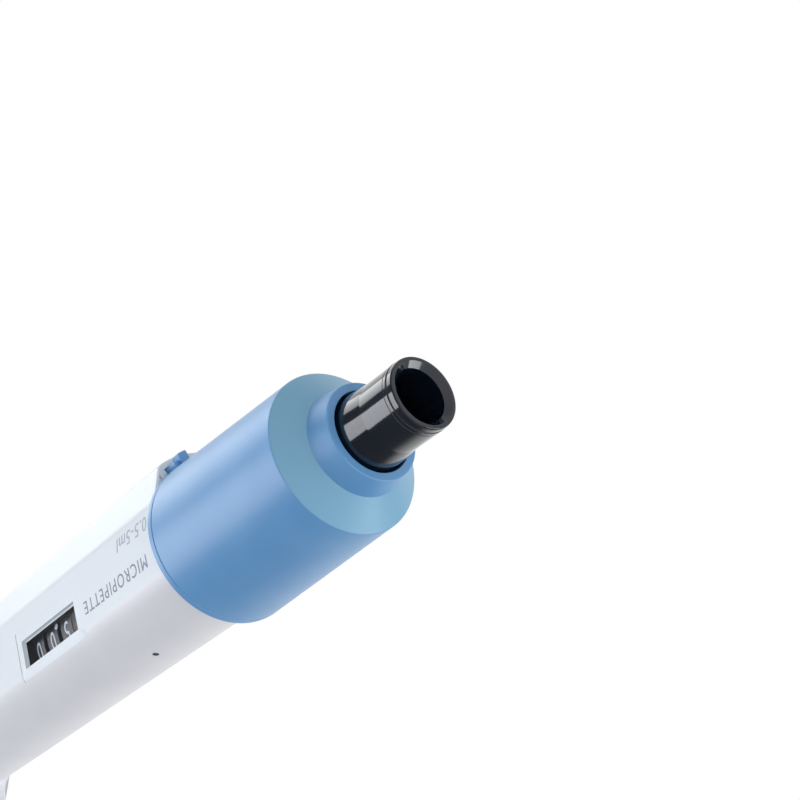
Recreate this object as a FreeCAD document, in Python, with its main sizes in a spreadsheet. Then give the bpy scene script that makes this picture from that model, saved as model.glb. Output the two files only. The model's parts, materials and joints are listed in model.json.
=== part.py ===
import FreeCAD
import Part
import Sketcher
import math
import os
import re

# Adjustable air-displacement pipette, 0.5 to 5 ml, in millimetres.
# The origin is the centre of the nozzle's mouth. +Z runs up the axis to the push button,
# -Y is the front with the volume display, -X the finger-rest side, +X the tip-ejector side.

doc = FreeCAD.newDocument("pipette")
sizes = doc.addObject("Spreadsheet::Sheet", "sizes")
places = doc.addObject("App::VarSet", "places")

drivingSizes = (
    # piston, cylinder and stroke
    ("pistonBore", 9.975, "radius of the cylinder's bore: 312.6 mm2"),
    ("cylinderWall", 0.925, "wall of the piston cylinder"),
    ("dispenseStroke", 16.0, "stroke of the full volume, 5 ml"),
    ("blowoutStroke", 3.0, "further stroke that blows the last drop out"),
    ("pistonHeight", 6.5, "height of the piston"),
    ("pistonClear", 0.5, "air left under the piston at the end of its stroke"),
    ("cylinderHead", 1.5, "free cylinder above the piston at rest"),
    ("floorThick", 2.4, "floor of the cylinder, round the nozzle's spigot"),
    ("capHeight", 3.5, "height of the cylinder's cap"),
    ("capInset", 0.6, "the cap is this much smaller in radius than the cylinder"),
    ("rodRadius", 2.0, "plunger rod"),
    ("bushWall", 1.2, "wall of the rod's guide bush"),
    ("sealDepth", 1.2, "depth of the seal's groove in the piston"),
    ("sealHeight", 2.5, "height of the seal"),
    # nozzle
    ("nozzleRim", 5.69, "outer radius at the mouth"),
    ("nozzleBore", 4.2, "bore behind the mouth"),
    ("mouthBevel", 0.9, "depth of the mouth's inner bevel"),
    ("rimWidth", 0.35, "flat rim between the bevel and the outer rounding"),
    ("beadHeight", 1.1, "bead at the mouth"),
    ("beadGroove", 0.35, "height and depth of the groove behind the bead"),
    ("seatRadius", 5.75, "straight land that a disposable tip seats on"),
    ("seatLength", 6.0, "length of that land"),
    ("throatRadius", 6.12, "nozzle inside the ejector collar"),
    ("throatRamp", 4.0, "length of the taper from the land to the throat"),
    ("boreDepth", 14.0, "depth of the filter bore"),
    ("airRadius", 1.5, "air passage"),
    ("spigotRadius", 6.0, "spigot that plugs into the cylinder's floor"),
    ("ringSection", 0.42, "section radius of the nozzle's o-ring"),
    ("ringLand", 0.42, "height of the spigot below that ring's groove"),
    ("ringGroove", 0.92, "height of that groove"),
    # ejector sleeve and arm
    ("sleeveFront", 12.27, "height of the collar's front face above the mouth"),
    ("collarGap", 0.42, "gap round the nozzle in the collar"),
    ("collarWall", 1.31, "wall of the collar at its front face"),
    ("collarHeight", 4.12, "height of the collar"),
    ("collarFlare", 0.67, "the collar widens by this much to its base"),
    ("coneHeight", 3.0, "height of the shoulder cone"),
    ("coneWall", 1.6, "wall of the cone, along the axis"),
    ("coneGap", 0.6, "gap between the cone and the nozzle, along the axis"),
    ("sleeveLength", 33.04, "length of the sleeve behind the cone"),
    ("sleeveTaper", 0.97, "the sleeve widens by this much in radius to its rear rim"),
    ("sleeveWall", 1.25, "wall of the sleeve"),
    ("sleeveClear", 0.85, "gap between the sleeve's rim and the handle"),
    ("armProud", 0.8, "the arm stands this far out of the sleeve"),
    ("armDrop", 3.1, "length of the arm below the sleeve's rim"),
    ("armCentre", -25.6, "angle of the arm round the axis"),
    ("armHalf", 4.0, "half of the arm's angle"),
    ("armReach", 10.0, "length of the arm above the sleeve's rim"),
    ("lapLength", 5.4, "lap of the arm and the ejector bar"),
    ("ejectStroke", 9.0, "travel of the tip ejector"),
    ("slotSide", 3.4, "angle left free each side of the arm and the bar"),
    # handle
    ("spigotWall", 0.9, "wall of the handle's round foot inside the sleeve"),
    ("footOverlap", 2.5, "the foot is still covered by this much at full ejection"),
    ("rearGap", 0.47, "gap between the sleeve's rim and the handle"),
    ("handleLength", 117.1, "length of the handle above the sleeve"),
    ("facetInset", 0.73, "the front facet lies this far inside the round"),
    ("facetRight", 7.2, "edge of the front facet"),
    ("frontWall", 1.5, "wall behind the front facet"),
    ("bulgeProud", 2.0, "the ejector side stands this far out of the sleeve's rim"),
    ("bulgeWall", 1.05, "wall of the ejector side"),
    ("bulgeAngle", 34.0, "half angle of the ejector side's round"),
    ("wallAngle", 2.0, "the cavity's round is narrower by this angle"),
    ("ductDepth", 2.75, "depth of the duct for the ejector bar"),
    ("ductFloor", 4.1, "floor of that duct"),
    ("holeDrop", 11.2, "calibration hole below the counter's ledge"),
    ("holeRadius", 0.6, "calibration hole"),
    ("holeAcross", -3.49, "calibration hole's place across the handle"),
    # display
    ("windowAcross", -0.64, "centre of the window across the facet"),
    ("windowWidth", 4.91, "width of the window"),
    ("windowLead", 5.05, "window below the lowest drum"),
    ("windowTail", 0.15, "window above the highest drum"),
    ("bezelSide", 2.0, "bezel each side of the window"),
    ("bezelDepth", 0.6, "depth of the bezel in the handle"),
    ("bezelProud", 0.1, "the bezel stands this far out of the facet"),
    ("lensThick", 0.5, "window lens"),
    ("lensGap", 0.12, "gap between the bezel and the lens"),
    # counter
    ("drumClear", 0.52, "gap between the drums and the front wall's inside"),
    ("drumHeight", 3.9, "height of a drum's rim"),
    ("carryHeight", 1.3, "height of the carry gap between two drums"),
    ("drumGap", 0.25, "running gap under the lowest drum"),
    ("drumWeb", 1.2, "web and rim of a drum"),
    ("postRadius", 4.0, "screw post that the drums turn on"),
    ("postBore", 2.4, "bore of the screw post"),
    ("postFlange", 6.0, "flange of the screw post"),
    ("postFlangeHeight", 1.1, "height of that flange"),
    ("plateThick", 1.5, "plates of the counter frame"),
    ("bossHeight", 1.8, "boss under the lowest drum"),
    ("skirtLength", 15.0, "skirt of the counter frame"),
    ("ringHeight", 5.4, "calibration ring"),
    ("ringWall", 1.5, "wall of the calibration ring"),
    ("notchCount", 18.0, "notches round the calibration ring"),
    ("pillarRadius", 0.9, "pillars of the counter frame"),
    ("pillarGap", 1.12, "gap between the pillars and the drums"),
    ("shaftRadius", 0.55, "carry shaft"),
    ("shaftGap", 0.38, "gap between the carry shaft and the drums"),
    ("gearTeeth", 20.0, "teeth of a drum's gear"),
    ("pinionTeeth", 8.0, "teeth of a carry pinion"),
    ("backlash", 0.14, "play between the carry teeth"),
    ("gearGap", 0.05, "gap between the sides of a gear or a disc and what turns beside it"),
    ("gearRise", 0.5, "a gear's teeth above its pitch circle, in modules"),
    ("gearFall", 0.85, "their root below it"),
    ("pinionRise", 0.6, "a pinion's teeth above its pitch circle, in modules"),
    ("pinionFall", 0.8, "their root below it"),
    ("discFall", 1.4, "the carry disc below the gear's pitch circle, in modules"),
    ("toothRooting", 0.1, "a tooth starts this far inside the root circle"),
    ("toothFlare", 9.0, "a tooth's half angle grows by this towards the root, per pitch radius"),
    ("toothTaper", 26.0, "it shrinks by this towards the tip, per pitch radius"),
    # volume adjustment
    ("tubeInset", 1.15, "the drive tube is this much smaller than the drums"),
    ("tubeWall", 0.8, "wall of the drive tube"),
    ("keyDepth", 0.35, "depth of the drive tube's keyways"),
    ("keyWidth", 2.2, "width of the keyways"),
    ("nutHeight", 8.0, "height of the stop nut"),
    ("nutRaise", 3.75, "stop nut above the top drum at full volume"),
    ("blowoutLength", 24.0, "free length of the blow-out spring"),
    ("blowoutWire", 0.5, "section radius of its wire"),
    ("stopHeight", 3.0, "height of the plunger's stop collar"),
    ("postSpare", 0.8, "gap between the post and the stop collar, pressed right down"),
    # plunger and its spring
    ("springLength", 25.8, "length of the main spring at rest"),
    ("springRadius", 4.8, "mean radius of the main spring"),
    ("springWire", 0.45, "section radius of its wire"),
    ("springCollar", 1.5, "height of the spring's collar"),
    ("springSeat", 0.6, "the collar is this much wider in radius than the spring"),
    ("clipHeight", 0.6, "clip over the spring's collar"),
    ("clipWall", 1.4, "wall of the clip"),
    ("clipMouth", 1.2, "half width of the clip's mouth"),
    ("clipPlay", 0.4, "gap between the clip and the screw post"),
    ("stemRadius", 4.5, "stem of the push button"),
    ("rodGrip", 4.0, "rod's grip in the piston"),
    ("rodReach", 10.0, "rod's reach into the button's stem"),
    ("buttonHeight", 17.4, "height of the push button"),
    ("buttonWall", 1.5, "wall of the push button"),
    ("buttonRoof", 3.0, "roof of the push button"),
    ("buttonHub", 5.8, "the push button's hub starts this far above its foot"),
    ("buttonDish", 36.0, "radius of the dish in its top"),
    ("dishDepth", 0.75, "depth of that dish"),
    ("buttonLift", 0.6, "gap between the button and the dial, pressed right down"),
    # top
    ("topLip", 0.8, "lip of the top cap"),
    ("plugDepth", 4.0, "plug of the top cap"),
    ("bearingWall", 1.2, "wall of the dial's bearing"),
    ("dialGap", 0.2, "gap under the dial"),
    ("dialHeight", 12.0, "height of the volume dial"),
    ("dialWall", 2.5, "wall of the dial"),
    ("dialRoof", 2.0, "roof of the dial"),
    ("gripRadius", 0.35, "section radius of the dial's grip grooves"),
    ("gripCount", 40.0, "grip grooves on the dial"),
    ("gripInset", 1.5, "plain band of the dial below its grip grooves"),
    ("barInset", 0.15, "the ejector bar is clear of the sleeve's inside by this much"),
    ("barDrop", 8.0, "top of the ejector bar below the handle's top"),
    ("lugRaise", 21.0, "lug of the ejector bar above its duct's floor"),
    ("lugHeight", 2.0, "height of that lug"),
    ("lugAngle", 6.0, "end of that lug round the axis"),
    ("neckAngle", 30.0, "half angle of the ejector button's neck"),
    ("thumbAngle", 38.0, "half angle of the ejector button"),
    ("thumbHeight", 7.0, "height of the ejector button"),
    ("thumbProud", 1.5, "the ejector button stands this far out of the handle"),
    ("thumbGap", 0.8, "gap between the ejector button and the dial"),
    ("thumbLift", 0.4, "gap under the ejector button at full ejection"),
    ("ejectSpring", 1.0, "mean radius of the ejector's spring"),
    ("ejectWire", 0.2, "section radius of its wire"),
    ("screwRadius", 0.8, "small screws"),
    ("screwHead", 1.4, "head radius of the small screws"),
    ("headHeight", 0.9, "head height of the small screws"),
    ("screwReach", 2.5, "reach of the small screws into the finger rest"),
    ("lowScrew", 4.7, "lower screw above the foot of the rest's root"),
    ("highScrew", 3.45, "upper screw below the top of that root"),
    # finger rest
    ("restHeight", 15.7, "height of the finger rest's root"),
    ("restDrop", 9.0, "top of its root below the handle's top"),
    ("restReach", 22.1, "reach of the finger rest out of the handle"),
    ("restHalf", 5.1, "half of its width at the root"),
    ("restThick", 4.2, "thickness of the finger rest's tip"),
    ("restHook", 3.5, "height of the tip above the foot of the root"),
    ("restRooting", 3.0, "the root starts this far inside the handle's round and is cut to it"),
    ("restLead", 2.0, "level top of the rest, out of the handle"),
    ("restBow", 25.1, "radius of the rest's top"),
    ("restTipEase", 0.21, "the tip's radius is half its thickness and this"),
    ("restNeck", 3.15, "the finger space starts this far out of the handle"),
    ("restFillet", 5.6, "radius between the finger space and the handle"),
    # fits
    ("runClear", 0.08, "radial clearance of a running fit"),
    ("sealClear", 0.03, "radial clearance of the piston's seal"),
    ("seatGap", 0.02, "gap of seated faces"),
    ("shellGap", 0.1, "gap of plates and plugs inside the handle"),
    ("slideGap", 0.3, "gap of sliding parts"),
    ("cutPast", 1.0, "a cut starts and ends this far outside the solid"),
    ("joinLap", 1.0, "two features of one piece run into each other by this"),
)

# Heights and radii that follow from the driving sizes, each as a formula.
derivedPlaces = (
    ("fullStroke", "dispenseStroke + blowoutStroke"),
    ("cylinderOuter", "pistonBore + cylinderWall"),
    ("footBore", "cylinderOuter + shellGap"),
    ("handleRound", "footBore + spigotWall"),
    ("capRadius", "cylinderOuter - capInset"),
    ("roundBore", "capRadius + shellGap"),
    ("sleeveRadius", "handleRound + sleeveClear + sleeveWall"),
    ("coneRadius", "sleeveRadius - sleeveTaper"),
    ("collarBore", "throatRadius + collarGap"),
    ("collarRadius", "collarBore + collarWall"),
    ("collarBase", "sleeveFront + collarHeight"),
    ("coneEdge", "collarBase + coneHeight"),
    ("sleeveRear", "coneEdge + sleeveLength"),
    ("armOuter", "sleeveRadius + armProud"),
    ("bulgeRadius", "sleeveRadius + bulgeProud"),
    ("bulgeInner", "bulgeRadius - bulgeWall"),
    ("ductInner", "bulgeInner - ductDepth"),
    ("barInner", "sleeveRadius - sleeveWall + barInset"),
    ("barOuter", "armOuter - shellGap"),
    ("lapRadius", "(barInner + barOuter) / 2"),
    ("flareFoot", "collarBase + coneWall + coneGap"),
    ("nozzleTop", "coneEdge + coneWall + coneGap"),
    ("floorTop", "nozzleTop + floorThick"),
    ("seatFoot", "beadHeight + beadGroove"),
    ("pistonFace", "floorTop + pistonClear + fullStroke"),
    ("pistonTop", "pistonFace + pistonHeight"),
    ("cylinderTop", "pistonTop + cylinderHead"),
    ("capTop", "cylinderTop + capHeight"),
    ("footEnd", "sleeveRear - ejectStroke - footOverlap"),
    ("bulgeFoot", "sleeveRear + rearGap"),
    ("ductFoot", "bulgeFoot + ductFloor"),
    ("handleTop", "bulgeFoot + handleLength"),
    ("facetDepth", "handleRound - facetInset"),
    ("cavityDepth", "facetDepth - frontWall"),
    ("cavityAngle", "bulgeAngle - wallAngle"),
    ("springTop", "capTop + springLength"),
    ("collarTop", "springTop + springCollar"),
    ("postFoot", "collarTop + clipHeight + clipPlay"),
    ("ledge", "postFoot + postFlangeHeight"),
    ("plateTop", "ledge + plateThick"),
    ("bossTop", "plateTop + bossHeight"),
    ("onesFoot", "bossTop + drumGap"),
    ("drumPitch", "drumHeight + carryHeight"),
    ("tenthsFoot", "onesFoot + drumPitch"),
    ("hundredthsFoot", "tenthsFoot + drumPitch"),
    ("drumsTop", "hundredthsFoot + drumHeight"),
    ("upperPlate", "drumsTop + carryHeight / 2"),
    ("windowFoot", "onesFoot - windowLead"),
    ("windowTop", "drumsTop + windowTail"),
    ("drumRadius", "cavityDepth - drumClear"),
    ("pillarPlace", "(drumRadius + pillarGap + pillarRadius) * cos(45)"),
    ("postHole", "postRadius + runClear"),
    ("shaftPlace", "drumRadius + shaftRadius + shaftGap"),
    ("gearModule", "2 * shaftPlace / (gearTeeth + pinionTeeth)"),
    ("gearPitch", "gearTeeth / 2 * gearModule"),
    ("pinionPitch", "pinionTeeth / 2 * gearModule"),
    ("gearRoot", "gearPitch - gearFall * gearModule"),
    ("pinionRoot", "pinionPitch - pinionFall * gearModule"),
    ("gearHeight", "carryHeight / 2 - gearGap"),
    ("tubeOuter", "drumRadius - tubeInset"),
    ("tubeInner", "tubeOuter - tubeWall"),
    ("tubeFoot", "hundredthsFoot + drumWeb + seatGap"),
    ("nutFoot", "drumsTop + nutRaise"),
    ("nutTop", "nutFoot + nutHeight"),
    ("stopFoot", "nutTop + blowoutLength + dispenseStroke"),
    ("stopTop", "stopFoot + stopHeight"),
    ("postTop", "stopFoot - fullStroke - postSpare"),
    ("lipTop", "handleTop + topLip"),
    ("dialFoot", "lipTop + dialGap"),
    ("dialTop", "dialFoot + dialHeight"),
    ("dialRadius", "tubeOuter + dialWall"),
    ("buttonFoot", "dialTop + fullStroke + buttonLift"),
    ("buttonTop", "buttonFoot + buttonHeight"),
    ("buttonRadius", "dialRadius - buttonWall"),
    ("thumbFoot", "lipTop + ejectStroke + thumbLift"),
    ("barTop", "handleTop - barDrop"),
    ("armTop", "sleeveRear + armReach"),
    ("lapFoot", "armTop - lapLength"),
    ("lugFoot", "ductFoot + lugRaise"),
    ("restTop", "handleTop - restDrop"),
    ("restFoot", "restTop - restHeight"),
    ("restTip", "restFoot + restHook"),
    ("ringFoot", "ledge - holeDrop - ringHeight / 2"),
    ("ringOuter", "tubeOuter + seatGap + ringWall"),
)

for row, (alias, value, meaning) in enumerate(drivingSizes, start=1):
    sizes.set("A%d" % row, alias)
    sizes.set("B%d" % row, str(value))
    sizes.set("C%d" % row, meaning)
    sizes.setAlias("B%d" % row, alias)
doc.recompute()

home = {}
for alias, value, meaning in drivingSizes:
    home[alias] = "sizes"


def bind(formula):
    """The formula with each size's own sheet or set in front of its name."""
    return re.sub(r"[A-Za-z]\w*", lambda word: owned(word.group(0)), formula)


def owned(word):
    """A word of a formula: a size gets its owner's name, a function stays as it is."""
    if word in home:
        return home[word] + "." + word
    return word


def number(formula):
    """The number that a formula of sizes gives now."""
    return float(sizes.evalExpression(bind(formula)))


for name, formula in derivedPlaces:
    places.addProperty("App::PropertyFloat", name, "places", "")
    places.setExpression(name, bind(formula))
    home[name] = "places"
doc.recompute()

nodes = []


def keep(piece, label):
    """List a finished piece under the name of its node."""
    piece.Label = label
    nodes.append(piece)
    return piece


def part(label):
    """A new body for one sub-part."""
    return keep(doc.addObject("PartDesign::Body", label), label)


def plane(body, role):
    """One of the body's own origin planes."""
    return [each for each in body.Origin.OriginFeatures if each.Role == role][0]


def centreOf(start, end, radius):
    """Centre of the minor arc of this radius; a positive radius has it left of the way."""
    across = end - start
    side = FreeCAD.Vector(-across.y, across.x, 0).normalize()
    height = math.sqrt(radius ** 2 - (across.Length / 2) ** 2)
    return (start + end) * 0.5 + side * math.copysign(height, radius)


def sketched(body, role, outline, offset="0", lift="0"):
    """Closed sketch on an origin plane, moved along its normal by offset and up by lift.
    A corner is (across, up), or (across, up, radius) when the edge that leaves it is an arc."""
    sketch = body.newObject("Sketcher::SketchObject", body.Name + "Sketch")
    sketch.AttachmentSupport = [(plane(body, role), "")]
    sketch.MapMode = "FlatFace"
    if offset != "0":
        sketch.setExpression("AttachmentOffset.Base.z", bind(offset))
    if lift != "0":
        sketch.setExpression("AttachmentOffset.Base.y", bind(lift))
    points = [FreeCAD.Vector(number(each[0]), number(each[1]), 0) for each in outline]
    count = len(outline)
    first = [1] * count
    for i, corner in enumerate(outline):
        start = points[i]
        end = points[(i + 1) % count]
        if len(corner) == 2:
            sketch.addGeometry(Part.LineSegment(start, end), False)
            continue
        radius = number(corner[2])
        centre = centreOf(start, end, radius)
        if radius < 0:
            first[i] = 2
            start, end = end, start
        startAngle = math.atan2(start.y - centre.y, start.x - centre.x)
        endAngle = math.atan2(end.y - centre.y, end.x - centre.x)
        if endAngle < startAngle:
            endAngle += 2 * math.pi
        circle = Part.Circle(centre, FreeCAD.Vector(0, 0, 1), abs(radius))
        sketch.addGeometry(Part.ArcOfCircle(circle, startAngle, endAngle), False)
    for i, corner in enumerate(outline):
        after = (i + 1) % count
        sketch.addConstraint(Sketcher.Constraint("Coincident", i, 3 - first[i], after, first[after]))
    for i, corner in enumerate(outline):
        place(sketch, "DistanceX", i, first[i], corner[0], points[i].x)
        place(sketch, "DistanceY", i, first[i], corner[1], points[i].y)
        if len(corner) == 3:
            index = sketch.addConstraint(Sketcher.Constraint("Radius", i, abs(number(corner[2]))))
            sketch.setExpression("Constraints[%d]" % index, "abs(" + bind(corner[2]) + ")")
    return sketch


def place(sketch, kind, edge, end, formula, amount):
    """Fix one coordinate of an edge's end: on the axis itself when the formula is 0."""
    if formula == "0":
        axis = {"DistanceX": -2, "DistanceY": -1}[kind]
        sketch.addConstraint(Sketcher.Constraint("PointOnObject", edge, end, axis))
        return
    index = sketch.addConstraint(Sketcher.Constraint(kind, -1, 1, edge, end, amount))
    sketch.setExpression("Constraints[%d]" % index, bind(formula))


def circled(body, role, across, up, radius, offset="0"):
    """Sketch of one circle."""
    sketch = body.newObject("Sketcher::SketchObject", body.Name + "Circle")
    sketch.AttachmentSupport = [(plane(body, role), "")]
    sketch.MapMode = "FlatFace"
    if offset != "0":
        sketch.setExpression("AttachmentOffset.Base.z", bind(offset))
    middle = FreeCAD.Vector(number(across), number(up), 0)
    circle = Part.Circle(middle, FreeCAD.Vector(0, 0, 1), number(radius))
    sketch.addGeometry(circle, False)
    place(sketch, "DistanceX", 0, 3, across, middle.x)
    place(sketch, "DistanceY", 0, 3, up, middle.y)
    index = sketch.addConstraint(Sketcher.Constraint("Radius", 0, number(radius)))
    sketch.setExpression("Constraints[%d]" % index, bind(radius))
    return sketch


def spin(body, outline, cut=False, axis="V_Axis", lift="0"):
    """Turn an outline of (radius, height) corners right round."""
    sketch = sketched(body, "XZ_Plane", outline, "0", lift)
    kind = "PartDesign::Groove" if cut else "PartDesign::Revolution"
    feature = body.newObject(kind, body.Name + "Spin")
    feature.Profile = sketch
    feature.ReferenceAxis = (sketch, [axis])
    feature.Angle = 360
    doc.recompute()
    return feature


def raised(body, sketch, height, both=False):
    """Pad a sketch along its normal, or to both sides of its plane."""
    feature = body.newObject("PartDesign::Pad", body.Name + "Pad")
    feature.Profile = sketch
    feature.setExpression("Length", bind(height))
    if both:
        feature.SideType = "Symmetric"
    doc.recompute()
    return feature


def sunk(body, sketch, depth, along=True):
    """Cut a sketch along its normal, or against it."""
    before = body.Shape.Volume
    feature = body.newObject("PartDesign::Pocket", body.Name + "Pocket")
    feature.Profile = sketch
    feature.setExpression("Length", bind(depth))
    feature.Reversed = along
    doc.recompute()
    if not body.Shape.Volume < before:
        raise ValueError("a pocket of %s cuts nothing" % body.Label)
    return feature


def repeated(body, feature, count):
    """Copies of a feature evenly round the axis."""
    pattern = body.newObject("PartDesign::PolarPattern", body.Name + "Pattern")
    pattern.Originals = [feature]
    pattern.Axis = (plane(body, "Z_Axis"), [""])
    pattern.Angle = 360
    pattern.setExpression("Occurrences", bind(count))
    body.Tip = pattern
    doc.recompute()
    return pattern


def tube(inner, outer, foot, top):
    """Outline of a plain ring."""
    return ((inner, foot), (outer, foot), (outer, top), (inner, top))


def egg(roundness, depth, bulge, angle):
    """Section of the handle: round on the finger side, flat front and back, and a wider round
    on the ejector side that two slanted facets lead to."""
    left = "-sqrt((%s)^2 - (%s)^2)" % (roundness, depth)
    cornerX = "(%s) * cos(%s)" % (bulge, angle)
    cornerY = "(%s) * sin(%s)" % (bulge, angle)
    return (
        (left, "-(%s)" % depth),
        ("facetRight", "-(%s)" % depth),
        (cornerX, "-" + cornerY, bulge),
        (cornerX, cornerY),
        ("facetRight", depth),
        (left, depth, roundness),
    )


def sector(inner, outer, start, end):
    """A piece of a ring between two angles."""
    return (
        ("(%s) * cos(%s)" % (inner, start), "(%s) * sin(%s)" % (inner, start)),
        ("(%s) * cos(%s)" % (outer, start), "(%s) * sin(%s)" % (outer, start), outer),
        ("(%s) * cos(%s)" % (outer, end), "(%s) * sin(%s)" % (outer, end)),
        ("(%s) * cos(%s)" % (inner, end), "(%s) * sin(%s)" % (inner, end), "-(%s)" % inner),
    )


def box(left, right, low, high):
    """Outline of a rectangle."""
    return ((left, low), (right, low), (right, high), (left, high))


def spring(label, radius, wire, foot, top, across="0"):
    """Plain sleeve that a coil spring fills: mean radius of the coil and radius of its wire."""
    body = part(label)
    spin(body, tube("%s - %s" % (radius, wire), "%s + %s" % (radius, wire), foot, top))
    body.setExpression("Placement.Base.x", bind(across))
    return body


# ---- nozzle and cylinder ----

nozzle = part("nozzle")
spin(nozzle, (
    ("nozzleBore", "mouthBevel"),
    ("nozzleRim - 2 * rimWidth", "0"),
    ("nozzleRim - rimWidth", "0", "rimWidth"),
    ("nozzleRim", "rimWidth"),
    ("nozzleRim", "beadHeight"),
    ("seatRadius - beadGroove", "beadHeight"),
    ("seatRadius - beadGroove", "seatFoot"),
    ("seatRadius", "seatFoot"),
    ("seatRadius", "seatFoot + seatLength"),
    ("throatRadius", "seatFoot + seatLength + throatRamp"),
    ("throatRadius", "flareFoot"),
    ("cylinderOuter", "nozzleTop"),
    ("spigotRadius", "nozzleTop"),
    ("spigotRadius", "nozzleTop + ringLand"),
    ("spigotRadius - 2 * ringSection", "nozzleTop + ringLand"),
    ("spigotRadius - 2 * ringSection", "nozzleTop + ringLand + ringGroove"),
    ("spigotRadius", "nozzleTop + ringLand + ringGroove"),
    ("spigotRadius", "floorTop"),
    ("airRadius", "floorTop"),
    ("airRadius", "boreDepth + nozzleBore / 2"),
    ("nozzleBore", "boreDepth"),
))

nozzleRing = keep(doc.addObject("Part::Torus", "nozzle_o_ring"), "nozzle_o_ring")
nozzleRing.setExpression("Radius1", bind("spigotRadius - ringSection - seatGap"))
nozzleRing.setExpression("Radius2", bind("ringSection - seatGap"))
nozzleRing.setExpression("Placement.Base.z", bind("nozzleTop + ringLand + ringGroove / 2"))

cylinder = part("piston_cylinder")
spin(cylinder, (
    ("spigotRadius + seatGap", "nozzleTop + seatGap"),
    ("cylinderOuter", "nozzleTop + seatGap"),
    ("cylinderOuter", "cylinderTop"),
    ("pistonBore", "cylinderTop"),
    ("pistonBore", "floorTop"),
    ("spigotRadius + seatGap", "floorTop"),
))

cap = part("cylinder_cap")
spin(cap, tube("rodRadius + runClear + bushWall + seatGap", "capRadius", "cylinderTop + seatGap", "capTop"))

bush = part("rod_bush")
spin(bush, tube("rodRadius + runClear", "rodRadius + runClear + bushWall", "cylinderTop + seatGap", "capTop"))

# ---- handle ----

handle = part("handle_shell")
outerEgg = egg("handleRound", "facetDepth", "bulgeRadius", "bulgeAngle")
raised(handle, sketched(handle, "XY_Plane", outerEgg, "bulgeFoot"), "handleLength")
spin(handle, tube("footBore", "handleRound", "footEnd", "bulgeFoot + seatGap"))
spin(handle, (
    ("0", "footEnd"),
    ("footBore", "footEnd"),
    ("footBore", "cylinderTop"),
    ("roundBore", "cylinderTop"),
    ("roundBore", "handleTop"),
    ("0", "handleTop"),
), cut=True)
innerEgg = egg("roundBore", "cavityDepth", "bulgeInner", "cavityAngle")
sunk(handle, sketched(handle, "XY_Plane", innerEgg, "ledge"), "handleTop - ledge")
duct = sector("ductInner", "bulgeInner", "-bulgeAngle + wallAngle / 2", "bulgeAngle - wallAngle / 2")
sunk(handle, sketched(handle, "XY_Plane", duct, "ductFoot"), "ledge - ductFoot")
armSlot = sector("ductInner", "bulgeInner", "armCentre - armHalf - slotSide", "armCentre + armHalf + slotSide")
sunk(handle, sketched(handle, "XY_Plane", armSlot, "bulgeFoot"), "ductFloor")
windowSides = ("windowAcross - windowWidth / 2", "windowAcross + windowWidth / 2")
opening = box(windowSides[0], windowSides[1], "windowFoot", "windowTop")
sunk(handle, sketched(handle, "XZ_Plane", opening, "cavityDepth - cutPast"), "frontWall + 2 * cutPast")
bezelSides = (windowSides[0] + " - bezelSide", windowSides[1] + " + bezelSide")
bezelEnds = ("windowFoot - bezelSide", "windowTop + bezelSide")
bezelOutline = box(bezelSides[0], bezelSides[1], bezelEnds[0], bezelEnds[1])
sunk(handle, sketched(handle, "XZ_Plane", bezelOutline, "facetDepth - bezelDepth"), "bezelDepth + cutPast")
wallCut = "handleRound - roundBore + 4 * cutPast"
hole = circled(handle, "YZ_Plane", "holeAcross", "ledge - holeDrop", "holeRadius", "-roundBore + 2 * cutPast")
sunk(handle, hole, wallCut, along=False)

screwPlaces = ("restFoot + lowScrew", "restTop - highScrew")
for screwPlace in screwPlaces:
    hole = circled(handle, "YZ_Plane", "0", screwPlace, "screwRadius + seatGap", "-roundBore + 2 * cutPast")
    sunk(handle, hole, wallCut, along=False)

bezel = part("display_bezel")
fitted = box(
    bezelSides[0] + " + seatGap", bezelSides[1] + " - seatGap",
    bezelEnds[0] + " + seatGap", bezelEnds[1] + " - seatGap",
)
raised(bezel, sketched(bezel, "XZ_Plane", fitted, "facetDepth - bezelDepth + seatGap"), "bezelDepth + bezelProud")
opening = box(windowSides[0], windowSides[1], "windowFoot", "windowTop")
sunk(bezel, sketched(bezel, "XZ_Plane", opening, "facetDepth - bezelDepth - cutPast"), "bezelDepth + 2 * cutPast")

lens = part("window_lens")
glazed = box(
    windowSides[0] + " + seatGap", windowSides[1] + " - seatGap",
    "windowFoot + seatGap", "windowTop - seatGap",
)
lensPlane = "facetDepth - bezelDepth - lensThick - lensGap"
raised(lens, sketched(lens, "XZ_Plane", glazed, lensPlane), "lensThick - 2 * seatGap")

topCap = part("top_cap")
raised(topCap, sketched(topCap, "XY_Plane", outerEgg, "handleTop + seatGap"), "topLip - seatGap")
plug = egg("roundBore - shellGap", "cavityDepth - shellGap", "bulgeInner - shellGap", "cavityAngle")
raised(topCap, sketched(topCap, "XY_Plane", plug, "handleTop - plugDepth"), "plugDepth + topLip")
bearingSeat = "tubeOuter + runClear + bearingWall"
seatCircle = circled(topCap, "XY_Plane", "0", "0", bearingSeat + " + seatGap", "handleTop - plugDepth - cutPast")
sunk(topCap, seatCircle, "plugDepth + topLip + 2 * cutPast")
neckSlot = sector(
    "barInner - slideGap", "barOuter + shellGap",
    "-neckAngle - slotSide / 2", "neckAngle + slotSide / 2",
)
plugFoot = "handleTop - plugDepth - cutPast"
sunk(topCap, sketched(topCap, "XY_Plane", neckSlot, plugFoot), "plugDepth + topLip + 2 * cutPast")
neckCut = sector(
    "barInner - slideGap", "bulgeRadius",
    "-neckAngle - slotSide / 2", "neckAngle + slotSide / 2",
)
sunk(topCap, sketched(topCap, "XY_Plane", neckCut, plugFoot), "plugDepth + cutPast")

bearing = part("dial_bearing")
spin(bearing, tube("tubeOuter + runClear", bearingSeat, "handleTop - plugDepth", "lipTop"))

# ---- finger rest: a hook with a finger space under it ----

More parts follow.
